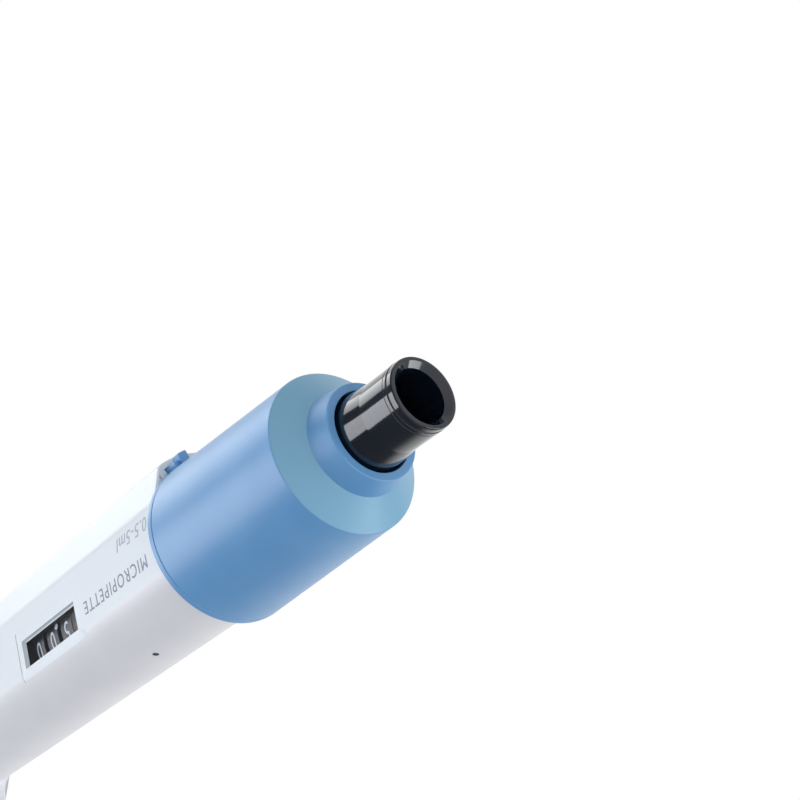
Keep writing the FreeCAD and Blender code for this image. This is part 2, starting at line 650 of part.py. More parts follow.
rest = part("finger_rest")
restEnd = "-(handleRound + restReach)"
raised(rest, sketched(rest, "XZ_Plane", (
    ("-(handleRound - restRooting)", "restFoot"),
    ("-(handleRound - restRooting)", "restTop"),
    ("-(handleRound + restLead)", "restTop", "restBow"),
    (restEnd, "restTip", "restThick / 2 + restTipEase"),
    (restEnd + " + restThick", "restTip", "-(restReach - restThick) / 2"),
    ("-(handleRound + restNeck)", "restTip", "-restFillet"),
)), "2 * restHalf", both=True)
spin(rest, (
    ("0", "restFoot - cutPast"),
    ("handleRound + seatGap", "restFoot - cutPast"),
    ("handleRound + seatGap", "restTop + cutPast"),
    ("0", "restTop + cutPast"),
), cut=True)
for screwPlace in screwPlaces:
    hole = circled(rest, "YZ_Plane", "0", screwPlace, "screwRadius + seatGap", "-handleRound + cutPast")
    sunk(rest, hole, "screwReach + 2 * cutPast", along=False)

for index, screwPlace in enumerate(screwPlaces):
    screw = part("finger_rest_screw_%d" % (index + 1))
    spin(screw, (
        ("-(roundBore - headHeight)", "0"),
        ("-(roundBore - headHeight)", "screwHead"),
        ("-(roundBore - shellGap)", "screwHead"),
        ("-(roundBore - shellGap)", "screwRadius"),
        ("-(handleRound + screwReach)", "screwRadius"),
        ("-(handleRound + screwReach)", "0"),
    ), axis="H_Axis", lift=screwPlace)

# ---- counter frame ----

barNotch = sector(
    "barInner - slideGap", "bulgeRadius + cutPast",
    "armCentre - armHalf - slotSide", "armCentre + armHalf + slotSide",
)
plateEgg = egg("roundBore - shellGap", "cavityDepth - shellGap", "bulgeInner - shellGap", "cavityAngle")

base = part("counter_base")
raised(base, sketched(base, "XY_Plane", plateEgg, "ledge + seatGap"), "plateThick - seatGap")
spin(base, tube("postRadius + seatGap", "drumRadius", "ledge + seatGap", "bossTop"))
spin(base, tube("tubeInner", "tubeOuter", "ledge - skirtLength", "ledge + plateThick / 2"))
baseCut = "plateThick + bossHeight + 2 * cutPast"
sunk(base, circled(base, "XY_Plane", "0", "0", "postRadius + seatGap", "ledge - cutPast"), baseCut)
sunk(base, sketched(base, "XY_Plane", barNotch, "ledge - cutPast"), baseCut)
shaftCircle = circled(base, "XY_Plane", "shaftPlace", "0", "shaftRadius + seatGap", "ledge - cutPast")
sunk(base, shaftCircle, baseCut)

upper = part("counter_upper_plate")
raised(upper, sketched(upper, "XY_Plane", plateEgg, "upperPlate"), "plateThick")
upperCut = "plateThick + 2 * cutPast"
sunk(upper, circled(upper, "XY_Plane", "0", "0", "tubeOuter + runClear", "upperPlate - cutPast"), upperCut)
sunk(upper, sketched(upper, "XY_Plane", barNotch, "upperPlate - cutPast"), upperCut)
shaftCircle = circled(upper, "XY_Plane", "shaftPlace", "0", "shaftRadius + seatGap", "upperPlate - cutPast")
sunk(upper, shaftCircle, upperCut)

for label, side in (("counter_pillar_front", "-1"), ("counter_pillar_rear", "1")):
    pillar = keep(doc.addObject("Part::Cylinder", label), label)
    pillar.setExpression("Radius", bind("pillarRadius"))
    pillar.setExpression("Height", bind("upperPlate - plateTop - 2 * seatGap"))
    pillar.setExpression("Placement.Base.x", bind("pillarPlace"))
    pillar.setExpression("Placement.Base.y", bind("pillarPlace * " + side))
    pillar.setExpression("Placement.Base.z", bind("plateTop + seatGap"))

shaft = keep(doc.addObject("Part::Cylinder", "carry_shaft"), "carry_shaft")
shaft.setExpression("Radius", bind("shaftRadius"))
shaft.setExpression("Height", bind("upperPlate + plateThick - ledge - seatGap"))
shaft.setExpression("Placement.Base.x", bind("shaftPlace"))
shaft.setExpression("Placement.Base.z", bind("ledge + seatGap"))

post = part("screw_post")
spin(post, (
    ("postBore", "postFoot"),
    ("postFlange", "postFoot"),
    ("postFlange", "ledge"),
    ("postRadius", "ledge"),
    ("postRadius", "postTop"),
    ("postBore", "postTop"),
))

ring = part("calibration_ring")
spin(ring, tube("tubeOuter + seatGap", "ringOuter", "ringFoot", "ringFoot + ringHeight"))
notch = circled(ring, "XY_Plane", "ringOuter + slideGap", "0", "holeRadius", "ringFoot - cutPast")
repeated(ring, sunk(ring, notch, "ringHeight + 2 * cutPast"), "notchCount")

# ---- drums and carry gears ----


def teeth(body, count, root, tip, pitch, foot, height, shift="0"):
    """Trapezoid teeth round the axis, between the root and tip radii. At the pitch radius a tooth
    is as wide as a gap, less the play; its flanks narrow outwards."""
    halfAngle = "90 / %s - backlash / (2 * %s) * 180 / pi" % (count, pitch)
    rootAngle = "%s + toothFlare * (%s - (%s)) / %s" % (halfAngle, pitch, root, pitch)
    tipAngle = "%s - toothTaper * ((%s) - %s) / %s" % (halfAngle, tip, pitch, pitch)
    outline = (
        ("(%s) * cos(%s - (%s))" % (root, shift, rootAngle), "(%s) * sin(%s - (%s))" % (root, shift, rootAngle)),
        ("(%s) * cos(%s - (%s))" % (tip, shift, tipAngle), "(%s) * sin(%s - (%s))" % (tip, shift, tipAngle)),
        ("(%s) * cos(%s + (%s))" % (tip, shift, tipAngle), "(%s) * sin(%s + (%s))" % (tip, shift, tipAngle)),
        ("(%s) * cos(%s + (%s))" % (root, shift, rootAngle), "(%s) * sin(%s + (%s))" % (root, shift, rootAngle)),
    )
    repeated(body, raised(body, sketched(body, "XY_Plane", outline, foot), height), count)


def drum(label, foot, geared, carries):
    """Number drum: a rim on a web and a hub that turns on the screw post. A geared drum has a
    gear on top, and a drum that carries has a plain disc below for the carry tooth."""
    body = part(label)
    spin(body, (
        ("postHole", foot),
        ("drumRadius", foot),
        ("drumRadius", foot + " + drumHeight"),
        ("tubeOuter + seatGap", foot + " + drumHeight"),
        ("tubeOuter + seatGap", foot + " + drumWeb"),
        ("postHole + drumWeb", foot + " + drumWeb"),
        ("postHole + drumWeb", foot + " + drumHeight"),
        ("postHole", foot + " + drumHeight"),
    ))
    if carries:
        discRadius = "gearPitch - discFall * gearModule"
        spin(body, tube("postHole", discRadius, foot + " - gearHeight", foot + " + drumWeb"))
    if geared:
        gearFoot = foot + " + drumHeight"
        spin(body, tube("postHole", "gearRoot", gearFoot + " - drumWeb", gearFoot + " + gearHeight"))
        teeth(
            body, "gearTeeth", "gearRoot - toothRooting", "gearPitch + gearRise * gearModule", "gearPitch",
            gearFoot + " - gearGap", "gearHeight + gearGap", "180 / gearTeeth",
        )
    return body


ones = drum("ones_drum", "onesFoot", True, False)
tenths = drum("tenths_drum", "tenthsFoot", True, True)
hundredths = drum("hundredths_drum", "hundredthsFoot", False, True)

for label, gapFoot in (
    ("carry_pinion_lower", "onesFoot + drumHeight"),
    ("carry_pinion_upper", "tenthsFoot + drumHeight"),
):
    pinion = part(label)
    pinionFoot = gapFoot + " + gearGap"
    pinionHeight = "carryHeight - 2 * gearGap"
    spin(pinion, tube("shaftRadius + runClear", "pinionRoot", pinionFoot, pinionFoot + " + " + pinionHeight))
    teeth(
        pinion, "pinionTeeth", "pinionRoot - toothRooting", "pinionPitch + pinionRise * gearModule",
        "pinionPitch", pinionFoot, pinionHeight,
    )
    pinion.setExpression("Placement.Base.x", bind("shaftPlace"))

# ---- volume adjustment ----

drive = part("drive_tube")
spin(drive, tube("tubeInner", "tubeOuter", "tubeFoot", "dialTop - dialRoof - seatGap"))
keyway = box("-(tubeInner + keyDepth)", "tubeInner + keyDepth", "-keyWidth / 2", "keyWidth / 2")
keyHeight = "stopFoot - tubeFoot - drumHeight + drumWeb"
sunk(drive, sketched(drive, "XY_Plane", keyway, "tubeFoot + drumHeight - drumWeb"), keyHeight)

nut = part("stop_nut")
spin(nut, tube("postRadius + runClear / 2", "tubeInner - runClear", "nutFoot", "nutTop"))
lugReach = "tubeInner + keyDepth - runClear"
lugHalf = "keyWidth / 2 - runClear"
lug = box("-(%s)" % lugReach, lugReach, "-(%s)" % lugHalf, lugHalf)
raised(nut, sketched(nut, "XY_Plane", lug, "nutFoot"), "nutHeight")
sunk(nut, circled(nut, "XY_Plane", "0", "0", "postRadius + runClear / 2", "nutFoot - cutPast"), "nutHeight + 2 * cutPast")

spring("blowout_spring", "(postRadius + tubeInner) / 2", "blowoutWire", "nutTop + seatGap", "nutTop + blowoutLength")

dial = part("volume_dial")
spin(dial, (
    ("tubeOuter + seatGap", "dialFoot"),
    ("dialRadius", "dialFoot"),
    ("dialRadius", "dialTop - dialRoof / 2"),
    ("dialRadius - dialRoof / 2", "dialTop"),
    ("stemRadius + runClear", "dialTop"),
    ("stemRadius + runClear", "dialTop - dialRoof"),
    ("tubeOuter + seatGap", "dialTop - dialRoof"),
))
groove = circled(dial, "XY_Plane", "dialRadius", "0", "gripRadius", "dialFoot + gripInset")
repeated(dial, sunk(dial, groove, "dialHeight"), "gripCount")

# ---- plunger ----

piston = part("piston")
pistonBody = "pistonBore - slideGap"
sealFoot = "pistonFace + (pistonHeight - sealHeight) / 3"
spin(piston, (
    ("0", "pistonFace"),
    (pistonBody, "pistonFace"),
    (pistonBody, sealFoot),
    (pistonBody + " - sealDepth", sealFoot),
    (pistonBody + " - sealDepth", sealFoot + " + sealHeight"),
    (pistonBody, sealFoot + " + sealHeight"),
    (pistonBody, "pistonTop"),
    ("rodRadius + seatGap", "pistonTop"),
    ("rodRadius + seatGap", "pistonTop - rodGrip"),
    ("0", "pistonTop - rodGrip"),
))

seal = part("piston_seal")
spin(seal, tube(
    pistonBody + " - sealDepth + seatGap", "pistonBore - sealClear",
    sealFoot + " + seatGap", sealFoot + " + sealHeight - seatGap",
))

rod = keep(doc.addObject("Part::Cylinder", "plunger_rod"), "plunger_rod")
rod.setExpression("Radius", bind("rodRadius"))
rod.setExpression("Height", bind("stopTop + rodReach - pistonTop + rodGrip - seatGap"))
rod.setExpression("Placement.Base.z", bind("pistonTop - rodGrip + seatGap"))

collar = part("spring_collar")
collarRadius = "springRadius + springWire + springSeat"
spin(collar, tube("rodRadius + seatGap", collarRadius, "springTop", "collarTop"))

clip = part("rod_clip")
spin(clip, tube("rodRadius + seatGap", "rodRadius + clipWall", "collarTop + seatGap", "collarTop + clipHeight"))
clipGap = box("0", "rodRadius + clipWall + cutPast", "-clipMouth", "clipMouth")
sunk(clip, sketched(clip, "XY_Plane", clipGap, "collarTop - cutPast"), "clipHeight + 2 * cutPast")

spring("main_spring", "springRadius", "springWire", "capTop + seatGap", "springTop - seatGap")

stop = part("stop_collar")
spin(stop, tube("rodRadius + seatGap", "tubeInner - 2 * slideGap", "stopFoot", "stopTop"))

stem = part("button_stem")
spin(stem, (
    ("rodRadius + seatGap", "stopTop + seatGap"),
    ("stemRadius", "stopTop + seatGap"),
    ("stemRadius", "buttonTop - buttonRoof - seatGap"),
    ("0", "buttonTop - buttonRoof - seatGap"),
    ("0", "stopTop + rodReach"),
    ("rodRadius + seatGap", "stopTop + rodReach"),
))

button = part("push_button")
hub = "stemRadius + seatGap + buttonWall"
spin(button, (
    ("0", "buttonTop - buttonRoof"),
    ("stemRadius + seatGap", "buttonTop - buttonRoof"),
    ("stemRadius + seatGap", "buttonFoot + buttonHub"),
    (hub, "buttonFoot + buttonHub"),
    (hub, "buttonTop - buttonRoof"),
    ("buttonRadius - buttonWall", "buttonTop - buttonRoof"),
    ("buttonRadius - buttonWall", "buttonFoot"),
    ("buttonRadius", "buttonFoot"),
    ("buttonRadius", "buttonTop - buttonWall", "buttonWall"),
    ("buttonRadius - buttonWall", "buttonTop", "-buttonDish"),
    ("0", "buttonTop - dishDepth"),
))

# ---- tip ejector ----

sleeve = part("ejector_sleeve")
spin(sleeve, (
    ("collarBore", "sleeveFront"),
    ("collarRadius", "sleeveFront"),
    ("collarRadius + collarFlare", "collarBase"),
    ("coneRadius", "coneEdge"),
    ("sleeveRadius", "sleeveRear"),
    ("sleeveRadius - sleeveWall", "sleeveRear"),
    ("coneRadius - sleeveWall", "coneEdge + coneWall"),
    ("collarBore", "collarBase + coneWall"),
))
armSides = ("armCentre - armHalf", "armCentre + armHalf")
armFull = sector("sleeveRadius - sleeveWall", "armOuter", armSides[0], armSides[1])
raised(sleeve, sketched(sleeve, "XY_Plane", armFull, "sleeveRear - armDrop"), "armDrop + armReach - lapLength")
armLap = sector("barInner", "lapRadius - seatGap", armSides[0], armSides[1])
raised(sleeve, sketched(sleeve, "XY_Plane", armLap, "lapFoot - joinLap"), "lapLength + joinLap")

bar = part("ejector_bar")
barLap = sector("lapRadius", "barOuter", armSides[0], armSides[1])
raised(bar, sketched(bar, "XY_Plane", barLap, "lapFoot + seatGap"), "lapLength + joinLap")
barFull = sector("barInner", "barOuter", armSides[0], armSides[1])
raised(bar, sketched(bar, "XY_Plane", barFull, "armTop + seatGap"), "barTop - armTop - 2 * seatGap")
lugOutline = sector("barInner", "barOuter", armSides[0], "lugAngle")
raised(bar, sketched(bar, "XY_Plane", lugOutline, "lugFoot"), "lugHeight")

thumb = part("ejector_button")
neck = sector("barInner", "barOuter", "-neckAngle", "neckAngle")
raised(thumb, sketched(thumb, "XY_Plane", neck, "barTop"), "thumbFoot - barTop + joinLap")
thumbHead = sector("dialRadius + thumbGap", "bulgeRadius + thumbProud", "-thumbAngle", "thumbAngle")
raised(thumb, sketched(thumb, "XY_Plane", thumbHead, "thumbFoot"), "thumbHeight")

spring(
    "ejector_spring", "ejectSpring", "ejectWire", "ductFoot + seatGap", "lugFoot - seatGap",
    "(ductInner + bulgeInner) / 2",
)

# ---- checks and export ----

doc.recompute()
for each in doc.Objects:
    if "Invalid" in each.State or "Error" in each.State:
        raise ValueError("%s is %s" % (each.Label, each.State))
for piece in nodes:
    if piece.Shape.isNull() or not piece.Shape.isValid():
        raise ValueError("the shape of %s is not valid" % piece.Label)
    if len(piece.Shape.Solids) != 1:
        raise ValueError("%s has %d solids" % (piece.Label, len(piece.Shape.Solids)))

os.makedirs("parts", exist_ok=True)
for piece in nodes:
    piece.Shape.exportStep("parts/%s.step" % piece.Label)
print("%d parts written" % len(nodes))
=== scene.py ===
import bmesh
import bpy
import json
import math
import numpy as np
from mathutils import Matrix, Vector


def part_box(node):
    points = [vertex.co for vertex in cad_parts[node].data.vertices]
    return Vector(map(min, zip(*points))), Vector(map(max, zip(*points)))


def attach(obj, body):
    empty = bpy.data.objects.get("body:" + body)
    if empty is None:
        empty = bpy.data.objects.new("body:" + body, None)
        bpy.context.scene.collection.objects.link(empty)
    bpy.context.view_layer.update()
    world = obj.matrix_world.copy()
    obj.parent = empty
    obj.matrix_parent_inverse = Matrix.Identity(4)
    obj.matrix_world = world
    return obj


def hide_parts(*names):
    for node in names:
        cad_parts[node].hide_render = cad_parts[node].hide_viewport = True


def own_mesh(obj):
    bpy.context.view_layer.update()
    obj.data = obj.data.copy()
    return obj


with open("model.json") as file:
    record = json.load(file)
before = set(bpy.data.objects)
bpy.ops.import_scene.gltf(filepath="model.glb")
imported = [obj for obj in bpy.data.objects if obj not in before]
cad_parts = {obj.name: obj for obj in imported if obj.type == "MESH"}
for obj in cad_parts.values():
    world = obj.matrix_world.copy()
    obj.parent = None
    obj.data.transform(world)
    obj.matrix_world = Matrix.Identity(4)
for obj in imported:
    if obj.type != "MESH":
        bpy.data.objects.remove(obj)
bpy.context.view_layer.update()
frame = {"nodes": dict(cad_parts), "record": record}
mm = 0.001
tau = 2 * math.pi


# reading the frame

def cornersOf(node):
    # every vertex of a CAD node as an array
    mesh = frame["nodes"][node].data
    points = np.zeros(len(mesh.vertices) * 3)
    mesh.vertices.foreach_get("co", points)
    return points.reshape(-1, 3)


def levelsOf(node, least=60):
    # the heights of a CAD node's round edges, where it has the most corners on its finger side
    points = cornersOf(node)
    levels, counts = np.unique(np.round(points[points[:, 0] < 0, 2], 5), return_counts=True)
    return levels[counts >= least]


def radiusAt(node, height, pick=max):
    # widest or narrowest radius of a CAD node's corners at a height, on its finger side
    points = cornersOf(node)
    near = points[(np.abs(points[:, 2] - height) < 0.03 * mm) & (points[:, 0] < 0)]
    return float(pick(np.hypot(near[:, 0], near[:, 1])))


# surfaces on a grid

def setMesh(name, points, faces):
    mesh = bpy.data.meshes.new(name)
    mesh.from_pydata(points.tolist(), [], faces)
    work = bmesh.new()
    work.from_mesh(mesh)
    bmesh.ops.remove_doubles(work, verts=work.verts, dist=1e-7)
    bmesh.ops.recalc_face_normals(work, faces=work.faces)
    work.to_mesh(mesh)
    work.free()
    mesh.shade_smooth()
    piece = bpy.data.objects.new(name, mesh)
    bpy.context.scene.collection.objects.link(piece)
    return piece


def gridPiece(name, grid, closedRows=False, capStart=False, capEnd=False, keep=None):
    # grid[row, column] is a point; columns close round, rows close when asked, ends can be capped
    rows, columns = grid.shape[:2]
    lastRow = rows if closedRows else rows - 1
    r, c = np.meshgrid(np.arange(lastRow), np.arange(columns), indexing="ij")
    if keep is not None:
        r, c = r[keep], c[keep]
    r, c = r.ravel(), c.ravel()
    rNext, cNext = (r + 1) % rows, (c + 1) % columns
    quads = np.stack([r * columns + c, r * columns + cNext, rNext * columns + cNext, rNext * columns + c], 1)
    faces = quads.tolist()
    if capStart:
        faces.append(list(range(columns)))
    if capEnd:
        faces.append(list(range((rows - 1) * columns, rows * columns)))
    return setMesh(name, grid.reshape(-1, 3), faces)


def softened(corners, closed, steps=7):
    # an outline whose corners (across, up, radius) become arcs, with a close support point each side
    points = np.array([c[:2] for c in corners], float)
    count = len(points)
    line = []
    for i in range(count):
        here = points[i]
        if not closed and i in (0, count - 1):
            line.append(here)
            continue
        before, after = points[i - 1] - here, points[(i + 1) % count] - here
        lengthIn, lengthOut = np.linalg.norm(before), np.linalg.norm(after)
        before, after = before / lengthIn, after / lengthOut
        half = math.acos(float(np.clip(before @ after, -1, 1))) / 2
        reach = min(corners[i][2] / max(math.tan(half), 1e-6), 0.46 * lengthIn, 0.46 * lengthOut)
        radius = reach * math.tan(half)
        middle = here + (before + after) / np.linalg.norm(before + after) * radius / math.sin(half)
        start, end = here + before * reach, here + after * reach
        first = math.atan2(*(start - middle)[::-1])
        turn = (math.atan2(*(end - middle)[::-1]) - first + math.pi) % tau - math.pi
        angles = first + turn * np.linspace(0, 1, steps)
        arc = middle + radius * np.stack([np.cos(angles), np.sin(angles)], 1)
        support = min(0.12 * mm, 0.03 * lengthIn, 0.03 * lengthOut)
        line.append(start + before * support)
        line.extend(arc)
        line.append(end + after * support)
    return np.array(line)


def lathe(name, corners, closed=True, count=256, ripple=None):
    # an outline of (radius, height) turned round the axis; a ripple of (count, depth, low, high)
    # cuts rounded grooves into it between two heights
    line = softened(corners, closed)
    angles = np.arange(count) / count * tau
    radius = np.repeat(line[:, :1], count, 1)
    height = np.repeat(line[:, 1:], count, 1)
    if ripple:
        grooves, depth, low, high = ripple
        level = np.clip((height - low) / (0.4 * mm), 0, 1) * np.clip((high - height) / (0.4 * mm), 0, 1)
        outside = radius > radius.max() - 1.2 * mm
        radius = radius - depth * level * outside * np.abs(np.cos(grooves / 2 * angles)) ** 6
    grid = np.stack([radius * np.cos(angles), radius * np.sin(angles), height], 2)
    return gridPiece(name, grid, closedRows=closed)


def ring(width, height, radius, perSide=12, perCorner=6):
    # rounded rectangle round the origin, always with the same number of points
    radius = min(radius, width / 2 * 0.98, height / 2 * 0.98)
    parts = []
    for quarter in range(4):
        angles = (quarter + np.linspace(0, 1, perCorner)) * math.pi / 2
        signs = np.sign(np.cos(angles.mean())), np.sign(np.sin(angles.mean()))
        middle = np.array([signs[0] * (width / 2 - radius), signs[1] * (height / 2 - radius)])
        parts.append(middle + radius * np.stack([np.cos(angles), np.sin(angles)], 1))
    line = []
    for quarter in range(4):
        line.append(parts[quarter])
        share = np.linspace(0, 1, perSide + 2)[1:-1, None]
        line.append(parts[quarter][-1] * (1 - share) + parts[(quarter + 1) % 4][0] * share)
    return np.concatenate(line)


def insetSteps(radius, steps=6):
    # (inset, advance) pairs of a quarter round at the end of a loft
    angles = np.linspace(0, math.pi / 2, steps)
    return radius * (1 - np.sin(angles)), radius * (1 - np.cos(angles))


print("helpers ready")


# materials

def nodeOf(tree, kind, **inputs):
    node = tree.nodes.new(kind)
    for key, value in inputs.items():
        node.inputs[key.replace("_", " ")].default_value = value
    return node


def makeFinish(name, look):
    # a moulded or machined surface: colour mottling, roughness variation, a fine grain and,
    # where asked, drawn lines along the axis or round it, zones of painted light, and dust
    material = bpy.data.materials.new(name)
    material.use_nodes = True
    tree = material.node_tree
    shader = tree.nodes["Principled BSDF"]
    link = tree.links.new
    place = tree.nodes.new("ShaderNodeTexCoord")
    stretch = tree.nodes.new("ShaderNodeMapping")
    stretch.inputs["Scale"].default_value = look.get("stretch", (1, 1, 1))
    link(place.outputs["Object"], stretch.inputs["Vector"])
    mottle = nodeOf(tree, "ShaderNodeTexNoise", Scale=look.get("mottle", 90), Detail=3.0, Roughness=0.55)
    link(place.outputs["Object"], mottle.inputs["Vector"])
    tint = tree.nodes.new("ShaderNodeMix")
    tint.data_type = "RGBA"
    tint.inputs["A"].default_value = (*look["colour"], 1)
    tint.inputs["B"].default_value = (*look["shade"], 1)
    spread = nodeOf(tree, "ShaderNodeMapRange", From_Min=0.35, From_Max=0.65)
    link(mottle.outputs["Fac"], spread.inputs["Value"])
    link(spread.outputs["Result"], tint.inputs["Factor"])
    colour = tint.outputs["Result"]
    for zone in look.get("paintedLightZones", ()):
        # another tint between two places along one axis, with soft ends: painted light, a side or band of one
        # material tinted as the lighting shows it
        split = tree.nodes.new("ShaderNodeSeparateXYZ")
        link(place.outputs["Object"], split.inputs["Vector"])
        level = split.outputs[zone["axis"]]
        starts = nodeOf(tree, "ShaderNodeMapRange", From_Min=zone["low"] - zone["soft"], From_Max=zone["low"])
        stops = nodeOf(tree, "ShaderNodeMapRange", From_Min=zone["high"] + zone["soft"],
                       From_Max=zone["high"])
        inside = tree.nodes.new("ShaderNodeMath")
        inside.operation = "MULTIPLY"
        for index, edge in enumerate((starts, stops)):
            link(level, edge.inputs["Value"])
            link(edge.outputs["Result"], inside.inputs[index])
        zoned = tree.nodes.new("ShaderNodeMix")
        zoned.data_type = "RGBA"
        zoned.inputs["B"].default_value = (*zone["colour"], 1)
        link(inside.outputs["Value"], zoned.inputs["Factor"])
        link(colour, zoned.inputs["A"])
        colour = zoned.outputs["Result"]
    if "dust" in look:
        cells = nodeOf(tree, "ShaderNodeTexVoronoi", Scale=look["dustScale"], Randomness=1.0)
        link(place.outputs["Object"], cells.inputs["Vector"])
        fleck = nodeOf(tree, "ShaderNodeMapRange", From_Min=look["dust"], From_Max=look["dust"] * 0.55)
        link(cells.outputs["Distance"], fleck.inputs["Value"])
        rare = nodeOf(tree, "ShaderNodeMapRange", From_Min=0.86, From_Max=0.9)
        link(cells.outputs["Color"], rare.inputs["Value"])
        both = tree.nodes.new("ShaderNodeMath")
        both.operation = "MULTIPLY"
        link(fleck.outputs["Result"], both.inputs[0])
        link(rare.outputs["Result"], both.inputs[1])
        dusty = tree.nodes.new("ShaderNodeMix")
        dusty.data_type = "RGBA"
        dusty.inputs["B"].default_value = (0.9, 0.92, 0.94, 1)
        link(both.outputs["Value"], dusty.inputs["Factor"])
        link(colour, dusty.inputs["A"])
        colour = dusty.outputs["Result"]
    link(colour, shader.inputs["Base Color"])
    grain = nodeOf(tree, "ShaderNodeTexNoise", Scale=look.get("grain", 4000), Detail=4.0, Roughness=0.6)
    link(stretch.outputs["Vector"], grain.inputs["Vector"])
    low, high = look["rough"]
    rough = nodeOf(tree, "ShaderNodeMapRange", From_Min=0.3, From_Max=0.7, To_Min=low, To_Max=high)
    link(grain.outputs["Fac"], rough.inputs["Value"])
    link(rough.outputs["Result"], shader.inputs["Roughness"])
    bump = nodeOf(tree, "ShaderNodeBump", Strength=look.get("bump", 0.1),
                  Distance=look.get("relief", 0.01) * mm)
    link(grain.outputs["Fac"], bump.inputs["Height"])
    link(bump.outputs["Normal"], shader.inputs["Normal"])
    shader.inputs["Metallic"].default_value = look.get("metal", 0.0)
    shader.inputs["IOR"].default_value = look.get("ior", 1.5)
    shader.inputs["Coat Weight"].default_value = look.get("coat", 0.0)
    shader.inputs["Coat Roughness"].default_value = look.get("coatRough", 0.1)
    shader.inputs["Subsurface Weight"].default_value = look.get("soft", 0.0)
    shader.inputs["Subsurface Scale"].default_value = 0.6 * mm
    if "alpha" in look:
        shader.inputs["Alpha"].default_value = look["alpha"]
    return material


looks = {
    "shell_white": dict(colour=(0.82, 0.83, 0.875), shade=(0.795, 0.805, 0.855), rough=(0.30, 0.42),
                        grain=5200, bump=0.12, coat=0.12, coatRough=0.22, dust=0.03, dustScale=260,
                        # painted light: past the finger side's round the shell is tinted bluer and darker,
                        # the lighting's colour on its front and ejector side
                        paintedLightZones=[dict(axis="X", low=-3.6 * mm, high=1.0, soft=0.8 * mm,
                                    colour=(0.745, 0.81, 0.86))]),
    # the bezel takes the same painted bluish lighting tint as the shell's front
    "bezel_white": dict(colour=(0.745, 0.81, 0.86), shade=(0.73, 0.80, 0.855), rough=(0.26, 0.36),
                        grain=5200, bump=0.1, coat=0.12, coatRough=0.2),
    "sleeve_blue": dict(colour=(0.145, 0.37, 0.68), shade=(0.125, 0.34, 0.65), rough=(0.33, 0.44),
                        grain=6800, bump=0.16, coat=0.28, coatRough=0.42, dust=0.035, dustScale=300,
                        # painted light: a band from 16.4 mm to 19.35 mm up the axis is painted paler, a
                        # painted highlight where light falls on it
                        paintedLightZones=[dict(axis="Z", low=16.4 * mm, high=19.35 * mm, soft=0.05 * mm,
                                    colour=(0.19, 0.43, 0.62))]),
    "nozzle_black": dict(colour=(0.003, 0.007, 0.014), shade=(0.007, 0.012, 0.022), rough=(0.07, 0.16),
                         grain=2600, bump=0.10, relief=0.02, coat=0.5, coatRough=0.06, stretch=(1, 1, 0.35),
                         dust=0.025, dustScale=500),
    "dial_grey": dict(colour=(0.42, 0.47, 0.53), shade=(0.38, 0.43, 0.5), rough=(0.34, 0.46),
                      grain=5200, bump=0.12),
    "counter_black": dict(colour=(0.02, 0.022, 0.026), shade=(0.03, 0.032, 0.036), rough=(0.45, 0.6),
                          grain=5200),
    "drum_black": dict(colour=(0.008, 0.01, 0.014), shade=(0.016, 0.018, 0.024), rough=(0.3, 0.45),
                       grain=5200),
    "lens_clear": dict(colour=(0.35, 0.38, 0.42), shade=(0.3, 0.33, 0.38), rough=(0.02, 0.05),
                       grain=900, bump=0.02,
                       alpha=0.03),
    "spring_steel": dict(colour=(0.62, 0.63, 0.65), shade=(0.5, 0.51, 0.53), rough=(0.2, 0.34), metal=1.0,
                         grain=9000, bump=0.15),
    "turned_steel": dict(colour=(0.66, 0.67, 0.69), shade=(0.58, 0.59, 0.62), rough=(0.16, 0.3), metal=1.0,
                         grain=3000, bump=0.2, stretch=(0.3, 0.3, 6)),
    "cylinder_alu": dict(colour=(0.74, 0.75, 0.77), shade=(0.68, 0.69, 0.72), rough=(0.28, 0.4), metal=1.0,
                         grain=2600, bump=0.2, stretch=(0.3, 0.3, 8)),
    "nut_brass": dict(colour=(0.72, 0.53, 0.24), shade=(0.63, 0.45, 0.2), rough=(0.2, 0.36), metal=1.0,
                      grain=2600, bump=0.2, stretch=(0.3, 0.3, 8)),
    "bearing_polymer": dict(colour=(0.84, 0.82, 0.75), shade=(0.79, 0.77, 0.7), rough=(0.38, 0.5),
                            grain=4200, soft=0.15),
    "seal_rubber": dict(colour=(0.02, 0.02, 0.021), shade=(0.035, 0.035, 0.036), rough=(0.55, 0.75),
                        grain=4800, bump=0.3),
    "print_slate": dict(colour=(0.19, 0.22, 0.32), shade=(0.24, 0.27, 0.37), rough=(0.4, 0.55), grain=9000),
    "print_grey": dict(colour=(0.38, 0.43, 0.50), shade=(0.45, 0.50, 0.57), rough=(0.4, 0.55), grain=9000),
    "digit_white": dict(colour=(0.74, 0.83, 0.97), shade=(0.66, 0.76, 0.93), rough=(0.4, 0.5), grain=7000),
}
finishes = {name: makeFinish(name, look) for name, look in looks.items()}
slotOf = {row["node"]: row["material_slot"] for row in frame["record"]["subparts"]}


def finishNode(piece, slot):
    piece.data.materials.clear()
    piece.data.materials.append(finishes[slot])


for node, piece in frame["nodes"].items():
    finishNode(piece, slotOf[node])


def stand(piece, node, slot=None, hide=True):
    # a finished piece rides with its node's body and takes the node's slot
    body = next(name for name, members in frame["record"]["behaviour"]["bodies"].items() if node in members)
    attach(piece, body)
    if hide:
        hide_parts(node)
    finishNode(piece, slot or slotOf[node])
    return piece


print("finishes ready")


# nozzle: turned, with a bevelled mouth and a bead

nozzleLook = {"bevel": 0.9, "rim": 0.35, "bead": 1.1, "groove": 0.22, "grooveDepth": 0.16, "second": 1.95,
              "seatTop": 7.45, "throatFoot": 11.45, "boreTop": 14, "plugHeight": 15,
              "flareFoot": 18.59, "top": 21.59}


